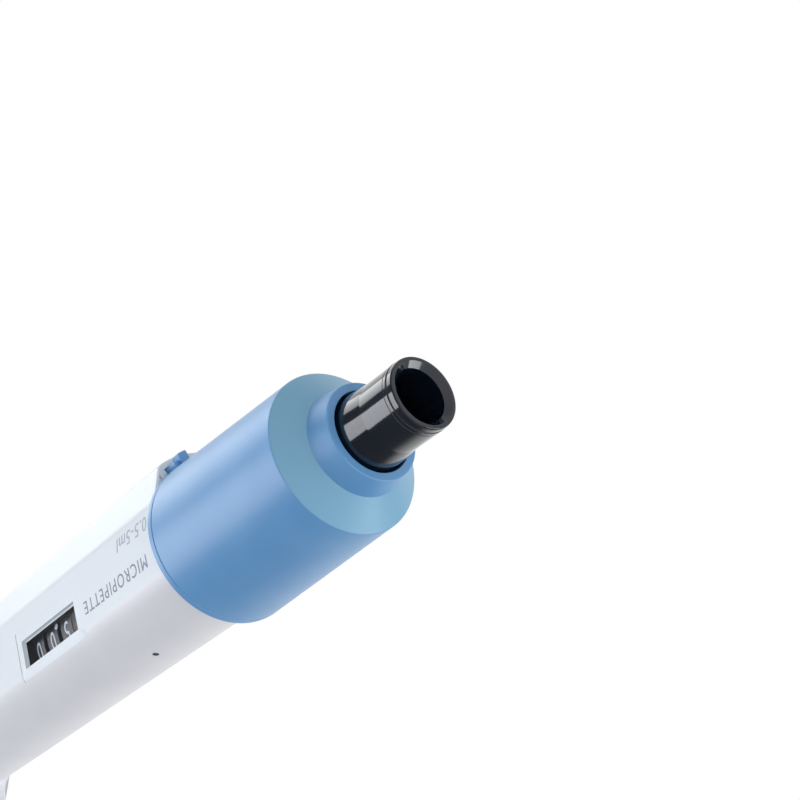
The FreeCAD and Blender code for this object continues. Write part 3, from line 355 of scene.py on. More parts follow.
def buildNozzle():
    s = nozzleLook
    low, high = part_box("nozzle")
    bore = radiusAt("nozzle", s["bevel"] * mm, min)
    rim = max(radiusAt("nozzle", s["rim"] * mm), radiusAt("nozzle", s["bead"] * mm))
    seat = radiusAt("nozzle", s["seatTop"] * mm)
    throat = radiusAt("nozzle", s["throatFoot"] * mm)
    wide = high.x
    flare, top = s["flareFoot"] * mm, s["top"] * mm
    groove = seat - s["grooveDepth"] * mm
    corners = [
        (bore, s["boreTop"] * mm, 0.1 * mm),
        (bore, s["bevel"] * mm, 0.16 * mm),
        (rim - 0.62 * mm, 0.02 * mm, 0.2 * mm),
        (rim - 0.1 * mm, 0.0, 0.34 * mm),
        (rim, 0.3 * mm, 0.3 * mm),
        (rim, s["bead"] * mm, 0.07 * mm),
        (groove, (s["bead"] + 0.06) * mm, 0.05 * mm),
        (groove, (s["bead"] + s["groove"]) * mm, 0.05 * mm),
        (seat, (s["bead"] + s["groove"] + 0.07) * mm, 0.06 * mm),
        (seat, s["second"] * mm, 0.03 * mm),
        (seat - 0.05 * mm, (s["second"] + 0.06) * mm, 0.03 * mm),
        (seat, (s["second"] + 0.14) * mm, 0.03 * mm),
        (seat, s["seatTop"] * mm, 1.5 * mm),
        (throat, s["throatFoot"] * mm, 1.5 * mm),
        (throat, flare, 0.4 * mm),
        (wide, top, 0.2 * mm),
        (0.0, top, 0.0),
    ]
    plug = s["plugHeight"] * mm
    inner = [(0.0, plug, 0.0), (bore * 0.98, plug, 0.1 * mm)]
    return lathe("nozzleBody", inner + corners, closed=False, count=320)


stand(buildNozzle(), "nozzle")


# ejector sleeve: collar, brushed shoulder, tapered skirt with a lip, and its arm

sleeveLook = {"edge": 0.22, "rimEdge": 0.14, "lip": 0.95, "lipWidth": 0.3, "lipDepth": 0.2}


def buildSleeve():
    s = sleeveLook
    front, base, throatIn, shoulder, shoulderIn, rear = levelsOf("ejector_sleeve")[[0, 1, 2, 3, 4, -1]]
    bore = radiusAt("ejector_sleeve", front, min)
    collar = radiusAt("ejector_sleeve", front)
    root = radiusAt("ejector_sleeve", base)
    wide = radiusAt("ejector_sleeve", shoulder)
    rim = radiusAt("ejector_sleeve", rear)
    rimIn = radiusAt("ejector_sleeve", rear, min)
    wideIn = radiusAt("ejector_sleeve", shoulderIn)

    def skirt(drop):
        # radius of the tapered skirt this far below its rim
        return rim - (rim - wide) * drop * mm / (rear - shoulder)

    lip, width = s["lip"], s["lipWidth"]
    corners = [
        (bore, front, 0.1 * mm),
        (collar, front, s["edge"] * mm),
        (root, base, 0.12 * mm),
        (wide, shoulder, 0.3 * mm),
        (skirt(lip + width), rear - (lip + width) * mm, 0.05 * mm),
        (skirt(lip) - s["lipDepth"] * mm, rear - (lip + width * 0.5) * mm, 0.05 * mm),
        (skirt(lip), rear - lip * mm, 0.05 * mm),
        (rim, rear, s["rimEdge"] * mm),
        (rimIn, rear, s["rimEdge"] * mm),
        (wideIn, shoulderIn, 0.4 * mm),
        (bore, throatIn, 0.3 * mm),
    ]
    return lathe("sleeveShell", corners, closed=True, count=360)


stand(buildSleeve(), "ejector_sleeve")

armLook = {"from": -32.2, "to": -21.6, "edge": 0.22, "knobFrom": -28.4, "knobProud": 0.85, "knobHeight": 2.2}


def arcBlock(name, inner, outer, startAngle, endAngle, low, high, edge, stations=24):
    # a bar of rounded rectangular section carried along an arc round the axis, with soft ends
    insets, advance = insetSteps(edge)
    middle = (inner + outer) / 2
    span = math.radians(endAngle - startAngle)
    along = np.concatenate([
        advance / middle, np.linspace(edge / middle, span - edge / middle, stations)[1:-1],
        span - advance[::-1] / middle,
    ])
    shrink = np.concatenate([insets, np.zeros(stations - 2), insets[::-1]])
    rows = []
    for step, inset in zip(along, shrink):
        section = ring(outer - inner - 2 * inset, high - low - 2 * inset, edge)
        angle = math.radians(startAngle) + step
        radius = middle + section[:, 0]
        rows.append(np.stack([radius * math.cos(angle), radius * math.sin(angle),
                              (low + high) / 2 + section[:, 1]], 1))
    return gridPiece(name, np.array(rows), capStart=True, capEnd=True)


def buildArm():
    points = cornersOf("ejector_sleeve")
    radius = np.hypot(points[:, 0], points[:, 1])
    outer = float(radius.max())
    rear = levelsOf("ejector_sleeve")[-1]
    foot = float(points[radius > outer - 0.05 * mm, 2].min())
    s = armLook
    inner = radiusAt("ejector_sleeve", rear, min) + 0.05 * mm
    top = float(points[:, 2].max()) - 5.4 * mm
    base = arcBlock("sleeveArm", inner, outer, s["from"], s["to"], foot + 0.9 * mm, top, s["edge"] * mm)
    knob = arcBlock("sleeveArmKnob", inner, outer + s["knobProud"] * mm, s["knobFrom"], s["to"],
                    foot, foot + s["knobHeight"] * mm, s["edge"] * mm)
    return base, knob


for armPiece in buildArm():
    stand(armPiece, "ejector_sleeve", hide=False)
print("nozzle and sleeve ready")


# handle: an egg-shaped section with flat facets, lofted up the axis

handleLook = {"facetSide": 7.2, "bulgeAngle": 34.0, "soften": 1.1, "footEdge": 0.35, "topEdge": 0.3,
              "ductInner": 12.2, "ductOuter": 14.95, "slotFrom": -33, "slotTo": -18.5}
handleLow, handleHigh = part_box("handle_shell")
bulgeFoot = levelsOf("handle_shell", 100)[1]
bezelLow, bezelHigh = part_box("display_bezel")


def eggLine(points=1440):
    # the handle's outline: the finger side's arc, the flat front, a slanted facet, the ejector side's
    # arc and the same mirrored, spaced evenly and averaged over a short stretch to round its edges
    roundness = -handleLow.x
    depth = facetDepth
    bulge = handleHigh.x
    left = -math.sqrt(roundness ** 2 - depth ** 2)
    side = handleLook["facetSide"] * mm
    corner = math.radians(handleLook["bulgeAngle"])
    backAngle = math.atan2(depth, left)
    arc = np.linspace(backAngle, tau - backAngle, 400)
    line = [np.stack([roundness * np.cos(arc), roundness * np.sin(arc)], 1)]
    line.append(np.array([[side, -depth]]))
    arc = np.linspace(-corner, corner, 200)
    line.append(np.stack([bulge * np.cos(arc), bulge * np.sin(arc)], 1))
    line.append(np.array([[side, depth], [left, depth]]))
    line = np.concatenate(line)
    closed = np.concatenate([line, line[:1]])
    walked = np.concatenate([[0], np.cumsum(np.linalg.norm(np.diff(closed, axis=0), axis=1))])
    even = np.linspace(0, walked[-1], points, endpoint=False)
    line = np.stack([np.interp(even, walked, closed[:, i]) for i in range(2)], 1)
    width = int(handleLook["soften"] * mm / (walked[-1] / points)) | 1
    kernel = np.ones(width) / width
    for i in range(2):
        looped = np.concatenate([line[-width:, i], line[:, i], line[:width, i]])
        line[:, i] = np.convolve(looped, kernel, "same")[width:-width]
    return line


facetDepth = -cornersOf("top_cap")[:, 1].min()
outline = eggLine()


def thinned(line):
    # fewer columns on the flats and arcs, with exact columns at the bezel's sides
    keepEvery = 4
    chosen = list(range(0, len(line), keepEvery))
    columns = line[chosen]
    frontEdges = []
    for side in (bezelLow.x, bezelHigh.x):
        front = np.where(columns[:, 1] < 0)[0]
        nearest = front[np.argmin(np.abs(columns[front, 0] - side))]
        exact = line[(line[:, 1] < 0)]
        order = np.argsort(exact[:, 0])
        columns[nearest] = (side, np.interp(side, exact[order, 0], exact[order, 1]))
        frontEdges.append(nearest)
    return columns, frontEdges


columns, frontEdges = thinned(outline)
along = np.roll(columns, -1, 0) - np.roll(columns, 1, 0)
outward = np.stack([along[:, 1], -along[:, 0]], 1) / np.linalg.norm(along, axis=1)[:, None]
polar = np.arctan2(columns[:, 1], columns[:, 0])
reachOut = np.hypot(columns[:, 0], columns[:, 1])


def eggRow(inset, height):
    # the outline moved inwards by an inset, at a height
    line = columns - outward * inset
    return np.column_stack([line, np.full(len(line), height)])


def roundRow(radius, height, clipped=False):
    # a circle with a point at each of the outline's directions, kept inside the outline when clipped
    limit = np.minimum(radius, reachOut - 0.4 * mm) if clipped else np.full(len(polar), radius)
    return np.column_stack([limit * np.cos(polar), limit * np.sin(polar), np.full(len(polar), height)])


def within(angle, low, high):
    return (angle > math.radians(low)) & (angle < math.radians(high))


def buildHandle():
    s = handleLook
    spigot = -handleLow.x
    inner = radiusAt("handle_shell", handleLow.z, min)
    duct = (s["ductInner"] * mm, s["ductOuter"] * mm)
    insets, rise = insetSteps(s["footEdge"] * mm)
    topInsets, topRise = insetSteps(s["topEdge"] * mm)
    rows = [roundRow(inner, handleLow.z + 9 * mm), roundRow(inner, handleLow.z + 0.3 * mm),
            roundRow(inner + 0.2 * mm, handleLow.z), roundRow(spigot - 0.25 * mm, handleLow.z),
            roundRow(spigot, handleLow.z + 0.3 * mm), roundRow(spigot, bulgeFoot)]
    rows += [roundRow(duct[0], bulgeFoot, True), roundRow(duct[1], bulgeFoot, True)]
    slotRow = len(rows) - 2
    rows += [eggRow(inset, bulgeFoot + up) for inset, up in zip(insets, rise)]
    heights = np.linspace(bulgeFoot + 0.6 * mm, bezelLow.z, 8).tolist() + [bezelHigh.z]
    heights += np.linspace(bezelHigh.z, handleHigh.z - 0.5 * mm, 12)[1:].tolist()
    firstHeight = len(rows)
    rows += [eggRow(0, height) for height in heights]
    holeRow = firstHeight + 7
    rows += [eggRow(inset, handleHigh.z - up) for inset, up in zip(topInsets[::-1], topRise[::-1])]
    rows += [eggRow(1.4 * mm, handleHigh.z), eggRow(1.4 * mm, handleHigh.z - 4 * mm)]
    grid = np.array(rows)
    keep = np.ones((len(rows) - 1, len(columns)), bool)
    slotEnds = (s["slotFrom"], s["slotTo"])
    slotColumns = within(polar, *slotEnds) & within(np.roll(polar, -1), *slotEnds)
    keep[slotRow, slotColumns] = False
    first, last = sorted(frontEdges)
    keep[holeRow, first:last] = False
    shell = gridPiece("handleShell", grid, keep=keep)
    return shell, grid, holeRow, first, last, slotRow, slotColumns


handleShell, handleGrid, holeRow, firstColumn, lastColumn, slotRow, slotColumns = buildHandle()
stand(handleShell, "handle_shell")


def wallPiece(name, loop, shift):
    # a wall that goes from a closed loop of points straight along a shift
    return gridPiece(name, np.array([loop, loop + np.array(shift)]))


def buildRecess():
    left, right = handleGrid[holeRow, firstColumn], handleGrid[holeRow, lastColumn]
    low, high = left[2], handleGrid[holeRow + 1, lastColumn][2]
    edge = handleGrid[holeRow, firstColumn:lastColumn + 1]
    upper = handleGrid[holeRow + 1, firstColumn:lastColumn + 1][::-1]
    sideUp = np.linspace(right, handleGrid[holeRow + 1, lastColumn], 8)[1:-1]
    sideDown = np.linspace(handleGrid[holeRow + 1, firstColumn], left, 8)[1:-1]
    loop = np.concatenate([edge, sideUp, upper, sideDown])
    return wallPiece("bezelRecess", loop, (0, 1.1 * mm, 0))


stand(buildRecess(), "handle_shell", hide=False)


def buildSlotWall():
    marked = np.where(slotColumns)[0]
    columnsIn = np.append(marked, marked[-1] + 1)
    inner = handleGrid[slotRow, columnsIn]
    outer = handleGrid[slotRow + 1, columnsIn][::-1]
    return wallPiece("armSlotWall", np.concatenate([inner, outer]), (0, 0, 4 * mm))


stand(buildSlotWall(), "handle_shell", hide=False)
print("handle ready")


# display bezel, a moulded frame round the window

bezelLook = {"gap": 0.006, "topGap": 0.26, "edge": 0.02, "windowEdge": 0.08, "draft": 0.06, "wall": 0.7,
             "proud": 0.01}


def buildBezel():
    s = bezelLook
    lensLow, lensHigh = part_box("window_lens")
    topGap = s["topGap"] * mm
    centre = ((bezelLow.x + bezelHigh.x) / 2, (bezelLow.z + bezelHigh.z - topGap) / 2)
    windowCentre = ((lensLow.x + lensHigh.x) / 2, (lensLow.z + lensHigh.z) / 2)
    gaps = 2 * s["gap"] * mm
    outer = (bezelHigh.x - bezelLow.x - gaps, bezelHigh.z - bezelLow.z - gaps - topGap)
    window = (lensHigh.x - lensLow.x, lensHigh.z - lensLow.z)
    face = -facetDepth - s["proud"] * mm
    back = face + s["wall"] * mm

    def loop(size, middle, inset, depth, radius):
        flat = ring(size[0] - 2 * inset, size[1] - 2 * inset, radius, 24, 6)
        return np.column_stack([middle[0] + flat[:, 0], np.full(len(flat), depth), middle[1] + flat[:, 1]])

    rows = [loop(outer, centre, 0, back, 0.25 * mm)]
    angles = np.linspace(0, math.pi / 2, 6)
    edge = s["edge"] * mm
    rows += [loop(outer, centre, edge * (1 - math.cos(a)), face + edge * (1 - math.sin(a)), 0.25 * mm)
             for a in angles]
    shrinkX, shrinkZ = outer[0] / 2 - window[0] / 2, outer[1] / 2 - window[1] / 2
    rows += [loop((outer[0] - 0.1 * shrinkX, outer[1] - 0.1 * shrinkZ), centre, edge, face, 0.2 * mm)]
    rim = s["windowEdge"] * mm
    rows += [loop(window, windowCentre, -rim * 1.6 - s["draft"] * mm, face, 0.12 * mm)]
    rows += [loop(window, windowCentre, -rim * (1 - math.sin(a)) - s["draft"] * mm,
                  face + rim * (1 - math.cos(a)), 0.1 * mm) for a in angles]
    rows += [loop(window, windowCentre, -0.02 * mm, back + 0.02 * mm, 0.08 * mm)]
    rows += [loop(window, windowCentre, 0.25 * mm, back + 0.02 * mm, 0.08 * mm)]
    mask = [loop(window, windowCentre, 0.05 * mm, back + 0.03 * mm, 0.08 * mm),
            loop(window, windowCentre, 0.05 * mm, back + 1.6 * mm, 0.08 * mm)]
    grid = np.array(rows)
    # beyond the facet the face follows the handle's round
    surface = -np.sqrt(handleLow.x ** 2 - grid[:, :, 0] ** 2) - s["proud"] * mm
    grid[:, :, 1] = np.maximum(grid[:, :, 1], surface)
    return gridPiece("displayBezel", grid), gridPiece("windowMask", np.array(mask))


bezelPiece, maskPiece = buildBezel()
stand(bezelPiece, "display_bezel")
stand(maskPiece, "handle_shell", "counter_black", hide=False)


# printed marks and drum numbers

def flatText(text, size, shear=0.0, cuts=0, spacing=1.0, stretch=1.0):
    # filled letters centred on the origin as a mesh, cut finely where they go on a curve
    curve = bpy.data.curves.new("letters", "FONT")
    curve.body = text
    curve.size = size
    curve.shear = shear
    curve.space_character = spacing
    curve.align_x = "CENTER"
    curve.align_y = "CENTER"
    curve.extrude = 0.012 * mm
    holder = bpy.data.objects.new("letters", curve)
    bpy.context.scene.collection.objects.link(holder)
    mesh = bpy.data.meshes.new_from_object(holder.evaluated_get(bpy.context.evaluated_depsgraph_get()))
    bpy.data.objects.remove(holder)
    work = bmesh.new()
    work.from_mesh(mesh)
    bmesh.ops.remove_doubles(work, verts=work.verts, dist=1e-7)
    bmesh.ops.triangulate(work, faces=work.faces)
    if cuts:
        longEdges = [edge for edge in work.edges if edge.calc_length() > size / 12]
        bmesh.ops.subdivide_edges(work, edges=longEdges, cuts=cuts)
        bmesh.ops.triangulate(work, faces=work.faces)
    work.to_mesh(mesh)
    work.free()
    points = np.zeros(len(mesh.vertices) * 3)
    mesh.vertices.foreach_get("co", points)
    points = points.reshape(-1, 3)
    points[:, 0] *= stretch
    return mesh, points


def placeText(name, mesh, points, node, finish):
    mesh.vertices.foreach_set("co", np.ascontiguousarray(points, float).ravel())
    mesh.update()
    piece = bpy.data.objects.new(name, mesh)
    bpy.context.scene.collection.objects.link(piece)
    return stand(piece, node, finish, hide=False)


printLook = {
    "word": {"text": "MICROPIPETTE", "size": 3.2, "across": -0.6, "height": 69.0, "shear": 0.0,
             "finish": "print_slate", "spacing": 1.2, "stretch": 0.86},
    "range": {"text": "0.5-5ml", "size": 3.0, "across": 5.0, "height": 61.0, "shear": 0.35,
              "finish": "print_grey", "spacing": 1.1, "stretch": 1.0},
}
printLift = 0.012 * mm  # the print lies this far out of the facet
for name, s in printLook.items():
    mesh, flat = flatText(s["text"], s["size"] * mm, s["shear"], 0, s["spacing"], s["stretch"])
    # letters read up the axis, with their tops towards the finger side
    onFacet = np.column_stack([s["across"] * mm - flat[:, 1], -facetDepth - printLift - flat[:, 2],
                               s["height"] * mm + flat[:, 0]])
    placeText("print" + name.capitalize(), mesh, onFacet, "handle_shell", s["finish"])

digitLook = {"size": 5.3, "stretch": 0.66, "lift": 0.02, "shift": 0.75, "dotSize": 9.0, "dotBack": 1.75,
             "dotDrop": 2.0}
drumNodes = {"ones_drum": ["%d" % ((5 - step) % 10) for step in range(10)],
             "tenths_drum": ["%d" % (-step % 10) for step in range(10)],
             "hundredths_drum": ["0", "5"] * 5}


def wrapOnDrum(flat, turn, drumRadius, middle):
    # text x runs up the axis; text y runs round the drum towards the finger side
    angle = math.radians(-90 - turn) - (flat[:, 1] + digitLook["shift"] * mm) / drumRadius
    radius = drumRadius + digitLook["lift"] * mm + flat[:, 2]
    return np.column_stack([radius * np.cos(angle), radius * np.sin(angle), middle + flat[:, 0]])


def drumRim(node):
    # the band of the rim: its radius and its lowest and highest corner
    points = cornersOf(node)
    radius = np.hypot(points[:, 0], points[:, 1])
    band = points[radius > radius.max() - 0.02 * mm, 2]
    return float(radius.max()), float(band.min()), float(band.max())


for node, digits in drumNodes.items():
    drumRadius, low, high = drumRim(node)
    pieces = []
    for step, digit in enumerate(digits):
        mesh, flat = flatText(digit, digitLook["size"] * mm, cuts=2, stretch=digitLook["stretch"])
        points = wrapOnDrum(flat, 36 * step, drumRadius, (low + high) / 2)
        mesh.vertices.foreach_set("co", points.ravel())
        pieces.append(mesh)
    joined = bmesh.new()
    for mesh in pieces:
        joined.from_mesh(mesh)
    if node == "tenths_drum":
        # the point stands before each number of the tenths drum
        dot, flat = flatText(".", digitLook["dotSize"] * mm, cuts=1)
        flat[:, :2] -= (flat[:, :2].max(0) + flat[:, :2].min(0)) / 2
        for step in range(10):
            spot = flat.copy()
            spot[:, 0] -= digitLook["dotBack"] * mm
            spot[:, 1] -= digitLook["dotDrop"] * mm
            copy = dot.copy()
            copy.vertices.foreach_set("co", wrapOnDrum(spot, 36 * step, drumRadius, (low + high) / 2).ravel())
            joined.from_mesh(copy)
    together = bpy.data.meshes.new("numbers")
    joined.to_mesh(together)
    joined.free()
    numbers = bpy.data.objects.new("numbers" + node.split("_")[0].capitalize(), together)
    bpy.context.scene.collection.objects.link(numbers)
    stand(numbers, node, "digit_white", hide=False)
print("display ready")


# calibration hole on the finger side, drawn as a dark round of painted shade with a lip, not bored

holeLook = {"aside": 3.49, "height": 73.19, "count": 48}


def buildHole():
    # a dark round, painted shade in place of the hole's bore, and the soft lip round it, both laid on the
    # finger side's round
    roundness = -handleLow.x
    aside = holeLook["aside"] * mm
    middle = math.atan2(-aside, -math.sqrt(roundness ** 2 - aside ** 2))
    angles = np.arange(holeLook["count"]) / holeLook["count"] * tau

    def rings(steps):
        return np.array([np.column_stack([
            (roundness + lift * mm) * np.cos(middle + radius * mm * np.cos(angles) / roundness),
            (roundness + lift * mm) * np.sin(middle + radius * mm * np.cos(angles) / roundness),
            holeLook["height"] * mm + radius * mm * np.sin(angles)]) for radius, lift in steps])

    # the hole's darkness is painted shade: a dark disc on the surface, not a bored hole
    dark = gridPiece("calibrationHoleShade", rings([(0.56, 0.012), (0.3, 0.011), (0.02, 0.011)]), capEnd=True)
    lipSteps = [(0.86, -0.01), (0.78, 0.02), (0.68, 0.035), (0.6, 0.03), (0.55, 0.0)]
    lip = gridPiece("calibrationLip", rings(lipSteps))
    return dark, lip


holeShadeDisc, holeLip = buildHole()
stand(holeShadeDisc, "handle_shell", "counter_black", hide=False)
stand(holeLip, "handle_shell", hide=False)


# finger rest: the hook's outline with soft edges; its root widens by flare * exp(-depth / fade)

restLook = {"edge": 0.9, "around": 240, "sunk": 2.6, "flare": 1.2, "fade": 1.0, "flareFrom": 1.6}


def buildRest():
    s = restLook
    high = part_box("finger_rest")[1]
    points = cornersOf("finger_rest")
    side = np.unique(np.round(points[points[:, 1] > high.y - 0.01 * mm][:, [0, 2]], 7), axis=0)
    # the outline's corners in order: each time the nearest one left, from the top of the root
    order = [int(np.argmax(side.sum(1)))]
    left = set(range(len(side))) - set(order)
    while left:
        order.append(min(left, key=lambda i: float(np.hypot(*(side[i] - side[order[-1]])))))
        left.remove(order[-1])
    roundness = -handleLow.x
    root = -(roundness - s["sunk"] * mm)
    line = np.vstack([(root, side[order[0]][1]), side[order], (root, side[order[-1]][1])])
    line = np.vstack([line, line[:1]])
    along = np.append(0, np.cumsum(np.hypot(*np.diff(line, axis=0).T)))
    places = np.arange(s["around"]) / s["around"] * along[-1]
    line = np.stack([np.interp(places, along, line[:, i]) for i in (0, 1)], 1)
    ahead = np.roll(line, -3, 0) - np.roll(line, 3, 0)
    inward = np.stack([-ahead[:, 1], ahead[:, 0]], 1) / np.hypot(*ahead.T)[:, None]
    insets, rise = insetSteps(s["edge"] * mm)
    steps = [(inset, -high.y + up) for inset, up in zip(insets, rise)]
    steps += [(inset, high.y - up) for inset, up in zip(insets[::-1], rise[::-1])]
    grid = np.zeros((len(steps), s["around"], 3))
    for row, (inset, across) in enumerate(steps):
        grid[row, :, 0::2] = line + inward * inset
        depth = np.clip(-grid[row, :, 0] - (roundness - s["flareFrom"] * mm), 0, None)
        grid[row, :, 1] = across * (1 + s["flare"] * mm / high.y * np.exp(-depth / (s["fade"] * mm)))
    return gridPiece("fingerRest", grid, capStart=True, capEnd=True)


stand(buildRest(), "finger_rest")


# top: cap, dial, stem, push button and ejector button

def buildTopCap():
    low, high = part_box("top_cap")
    lipFoot = handleHigh.z + 0.02 * mm
    hole = radiusAt("dial_bearing", high.z) + 0.02 * mm
    points = cornersOf("ejector_button")
    neck = points[points[:, 2] < high.z]
    neckRadius = np.hypot(neck[:, 0], neck[:, 1])
    slot = (float(neckRadius.min()) - 0.2 * mm, float(neckRadius.max()) + 0.12 * mm)
    insets, rise = insetSteps(0.35 * mm)
    rows = [roundRow(hole, lipFoot), eggRow(0.15 * mm, lipFoot), eggRow(0, lipFoot + 0.15 * mm)]
    rows += [eggRow(inset, high.z - up) for inset, up in zip(insets[::-1], rise[::-1])]
    rows += [roundRow(slot[1], high.z, True), roundRow(slot[0], high.z, True)]
    rows += [roundRow(hole + 0.15 * mm, high.z)]
    rows += [roundRow(hole, high.z - 0.15 * mm)]
    slotRow = len(rows) - 4
    keep = np.ones((len(rows), len(columns)), bool)
    cut = within(polar, -31.7, 31.7) & within(np.roll(polar, -1), -31.7, 31.7)
    keep[slotRow, cut] = False
    keep[0, cut] = False
    return gridPiece("topCap", np.array(rows), closedRows=True, keep=keep)


stand(buildTopCap(), "top_cap")

dialLook = {"edge": 0.5, "roof": 1.0, "grooves": 40, "depth": 0.42}


def buildDial():
    s = dialLook
    low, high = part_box("volume_dial")
    bore = radiusAt("volume_dial", high.z, min)
    inner = radiusAt("volume_dial", low.z, min)
    wide = high.x
    corners = [
        (inner, low.z, 0.1 * mm), (wide - 0.2 * mm, low.z, 0.4 * mm), (wide, low.z + 1.2 * mm, 0.4 * mm),
        (wide, high.z - s["roof"] * mm, 0.5 * mm), (wide - s["roof"] * mm, high.z, 0.5 * mm),
        (bore + 0.5 * mm, high.z, 0.3 * mm), (bore, high.z - 0.4 * mm, 0.2 * mm),
        (bore, high.z - 2 * mm, 0.05 * mm),
        (inner, high.z - 2 * mm, 0.05 * mm),
    ]
    return lathe("volumeDial", corners, count=480,
                 ripple=(s["grooves"], s["depth"] * mm, low.z + 1.6 * mm, high.z - s["roof"] * mm))


stand(buildDial(), "volume_dial")


def buildStem():
    low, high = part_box("button_stem")
    return lathe("buttonStem", [
        (0.0, low.z, 0.0), (high.x, low.z, 0.3 * mm), (high.x, high.z, 0.3 * mm), (0.0, high.z, 0.0),
    ], closed=False, count=160)


stand(buildStem(), "button_stem")


def buildButton():
    low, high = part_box("push_button")
    wide = high.x
    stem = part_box("button_stem")[1].x
    return lathe("pushButton", [
        (0.0, high.z - 1.1 * mm, 0.0), (wide * 0.62, high.z - 0.5 * mm, 3.0 * mm),
        (wide - 0.9 * mm, high.z, 0.7 * mm),
        (wide, high.z - 1.4 * mm, 1.0 * mm), (wide, low.z + 4 * mm, 0.4 * mm),
        (wide - 0.25 * mm, low.z + 3.8 * mm, 0.1 * mm), (wide - 0.25 * mm, low.z + 3.2 * mm, 0.1 * mm),
        (wide, low.z + 3.0 * mm, 0.4 * mm), (wide, low.z, 0.4 * mm), (wide - 1.5 * mm, low.z, 0.3 * mm),
        (wide - 1.5 * mm, high.z - 3 * mm, 0.3 * mm), (stem + 1.5 * mm, high.z - 3 * mm, 0.3 * mm),
        (stem + 1.5 * mm, low.z + 5.8 * mm, 0.2 * mm), (stem + 0.03 * mm, low.z + 5.8 * mm, 0.1 * mm),
        (stem + 0.03 * mm, high.z - 3.2 * mm, 0.1 * mm), (0.0, high.z - 3.2 * mm, 0.0),
    ], closed=False, count=256)


stand(buildButton(), "push_button")


def buildEjectorButton():
    points = cornersOf("ejector_button")
    radius = np.hypot(points[:, 0], points[:, 1])
    head = points[:, 2] > levelsOf("top_cap")[-1] + 9 * mm
    headLow, headHigh = float(points[head, 2].min()), float(points[:, 2].max())
    neck = points[:, 2] < headLow - 1 * mm
    angle = math.degrees(np.arctan2(points[head, 1], points[head, 0]).max())
    neckAngle = math.degrees(np.arctan2(points[neck, 1], points[neck, 0]).max())
    top = arcBlock("ejectorButton", float(radius.min()), float(radius.max()), -angle, angle,
                   headLow, headHigh, 1.1 * mm, 48)
    shank = arcBlock("ejectorButtonNeck", float(radius[neck].min()), float(radius[neck].max()),
                     -neckAngle, neckAngle, float(points[:, 2].min()), headLow + 1 * mm, 0.3 * mm, 40)
    return top, shank


ejectorTop, ejectorNeck = buildEjectorButton()
stand(ejectorTop, "ejector_button")
stand(ejectorNeck, "ejector_button", hide=False)
print("top ready")


# coil springs, each a round wire carried along a helix

springLook = {
    "main_spring": {"turns": 6.5, "wire": 0.45, "joint": "plunger_press", "keep": 0.2628},
    "blowout_spring": {"turns": 5.0, "wire": 0.5, "joint": "plunger_press", "keep": 0.875},
    "ejector_spring": {"turns": 12.0, "wire": 0.2, "joint": "ejector_press", "keep": 0.572},
}


def buildSpring(node, s, stationsPerTurn=48, around=14):
    # the wire's centre climbs evenly as it turns; its circle stands square to the way
    low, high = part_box(node)
    wire = s["wire"] * mm
    centre = ((low.x + high.x) / 2, (low.y + high.y) / 2)
    coilRadius = (high.x - low.x) / 2 - wire
    t = np.linspace(0, 1, int(s["turns"] * stationsPerTurn))
    angle = t * s["turns"] * tau
    climb = low.z + wire + (high.z - low.z - 2 * wire) * t
    path = np.stack([centre[0] + coilRadius * np.cos(angle), centre[1] + coilRadius * np.sin(angle),
                     climb], 1)
    rim = np.arange(around) / around * tau
    outwardWay = np.stack([np.cos(angle), np.sin(angle), np.zeros(len(t))], 1)
    grid = path[:, None] + wire * (outwardWay[:, None] * np.cos(rim)[None, :, None]
                                   + np.array([0, 0, 1]) * np.sin(rim)[None, :, None])
    return gridPiece(node.split("_")[0] + "Coil", grid, capStart=True, capEnd=True)


for node, s in springLook.items():
    coil = stand(buildSpring(node, s), node)
    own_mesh(coil)
print("springs ready")


# stage, lights and camera

stageLook = {"floorHeight": -0.55, "worldBright": 1.0, "worldDim": 0.15, "dimFrom": 0.3, "brightFrom": 0.68}
cameraLook = {"lens": 71.4, "sensor": 36}
viewForward = Vector((0.3742, 0.6481, 0.6633)).normalized()
viewRight = Vector((-0.2556, 0.7596, -0.5980))
viewPlace = Vector((-82.01, -144.37, -142.73)) * mm


def buildCamera():
    lens = bpy.data.cameras.new("viewCamera")
    lens.lens = cameraLook["lens"]
    lens.sensor_width = cameraLook["sensor"]
    lens.clip_start = 0.005
    holder = bpy.data.objects.new("viewCamera", lens)
    bpy.context.scene.collection.objects.link(holder)
    right = (viewRight - viewForward * viewRight.dot(viewForward)).normalized()
    up = right.cross(viewForward).normalized()
    turn = Matrix((right, up, -viewForward)).transposed().to_4x4()
    holder.matrix_world = Matrix.Translation(viewPlace) @ turn
    bpy.context.scene.camera = holder
    return right, up


right, up = buildCamera()


def buildFloor():
    size = 6
    spread = np.array([-size, size])
    grid = np.array([[(x, y, stageLook["floorHeight"]) for x in spread] for y in spread], float)
    mesh = bpy.data.meshes.new("floor")
    mesh.from_pydata(grid.reshape(-1, 3).tolist(), [], [[0, 1, 3, 2]])
    floor = bpy.data.objects.new("floor", mesh)
    bpy.context.scene.collection.objects.link(floor)
    paint = bpy.data.materials.new("paleFloor")
    paint.use_nodes = True
    paint.node_tree.nodes["Principled BSDF"].inputs["Base Color"].default_value = (0.9, 0.9, 0.91, 1)
    paint.node_tree.nodes["Principled BSDF"].inputs["Roughness"].default_value = 0.8
    mesh.materials.append(paint)


buildFloor()


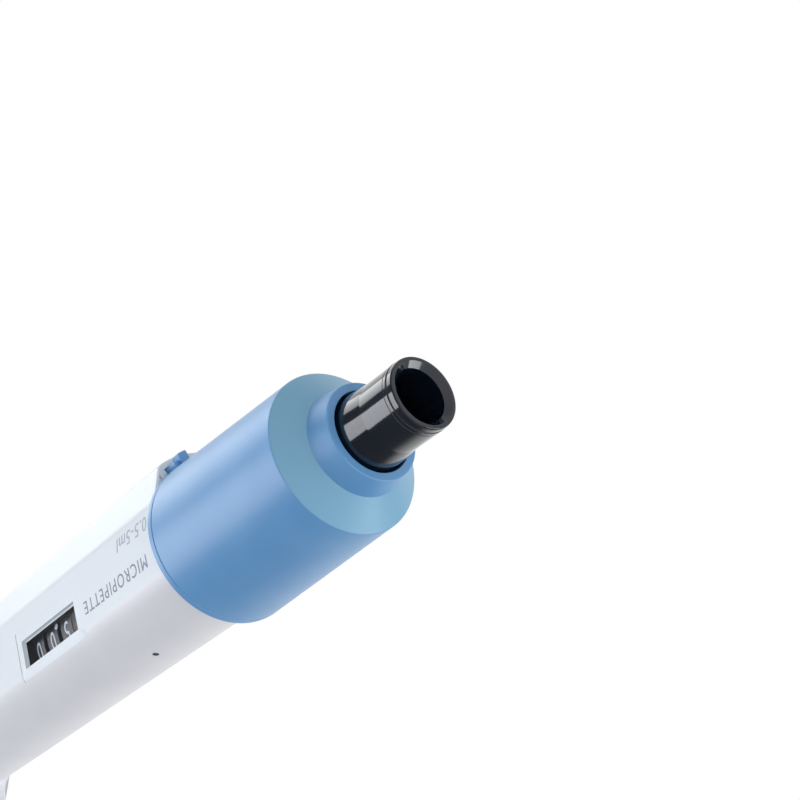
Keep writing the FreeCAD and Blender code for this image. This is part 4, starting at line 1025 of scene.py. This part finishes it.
def buildWorld():
    # white behind the object, dim behind the camera, where the gloss looks
    world = bpy.data.worlds.new("studio")
    bpy.context.scene.world = world
    world.use_nodes = True
    tree = world.node_tree
    link = tree.links.new
    background = tree.nodes["Background"]
    background.inputs["Color"].default_value = (1, 1, 1, 1)
    place = tree.nodes.new("ShaderNodeTexCoord")
    dot = tree.nodes.new("ShaderNodeVectorMath")
    dot.operation = "DOT_PRODUCT"
    dot.inputs[1].default_value = viewForward
    link(place.outputs["Generated"], dot.inputs[0])
    level = nodeOf(tree, "ShaderNodeMapRange", From_Min=stageLook["dimFrom"],
                   From_Max=stageLook["brightFrom"], To_Min=stageLook["worldDim"],
                   To_Max=stageLook["worldBright"])
    level.interpolation_type = "SMOOTHSTEP"
    link(dot.outputs["Value"], level.inputs["Value"])
    path = tree.nodes.new("ShaderNodeLightPath")
    seen = tree.nodes.new("ShaderNodeMath")
    seen.operation = "MAXIMUM"
    link(level.outputs["Result"], seen.inputs[0])
    link(path.outputs["Is Camera Ray"], seen.inputs[1])
    link(seen.outputs["Value"], background.inputs["Strength"])


buildWorld()

# each softbox stands a metre from the sleeve: its direction, its width and height in degrees,
# its brightness and its tint
lightLook = {
    "mainBox": {"azimuth": -86, "elevation": 43, "angles": (36, 34),
                "bright": 4.3, "tint": (0.93, 0.94, 1.0)},
    "edgeBox": {"azimuth": -18, "elevation": 43, "angles": (30, 32),
                "bright": 2.3, "tint": (0.95, 0.98, 1.0)},
    "fillBox": {"azimuth": -152, "elevation": -2, "angles": (80, 56),
                "bright": 0.3, "tint": (0.96, 0.98, 1.0)},
    "coneBox": {"azimuth": 138, "elevation": -32, "angles": (34, 32),
                "bright": 4.2, "tint": (0.97, 1.0, 1.0)},
}
sleeveMiddle = Vector((0, 0, 35 * mm))


def buildLight(name, s):
    lamp = bpy.data.lights.new(name, "AREA")
    lamp.shape = "RECTANGLE"
    lamp.size, lamp.size_y = (2 * math.tan(math.radians(angle / 2)) for angle in s["angles"])
    lamp.energy = s["bright"] * math.pi * lamp.size * lamp.size_y
    lamp.color = s["tint"]
    holder = bpy.data.objects.new(name, lamp)
    bpy.context.scene.collection.objects.link(holder)
    holder.visible_camera = False
    azimuth, elevation = math.radians(s["azimuth"]), math.radians(s["elevation"])
    way = Vector((math.cos(azimuth) * math.cos(elevation), math.sin(azimuth) * math.cos(elevation),
                  math.sin(elevation)))
    turn = way.to_track_quat("Z", "Y").to_matrix().to_4x4()
    holder.matrix_world = Matrix.Translation(sleeveMiddle + way) @ turn


for name, s in lightLook.items():
    buildLight(name, s)
bpy.context.scene.view_settings.view_transform = "Standard"
print("stage ready")
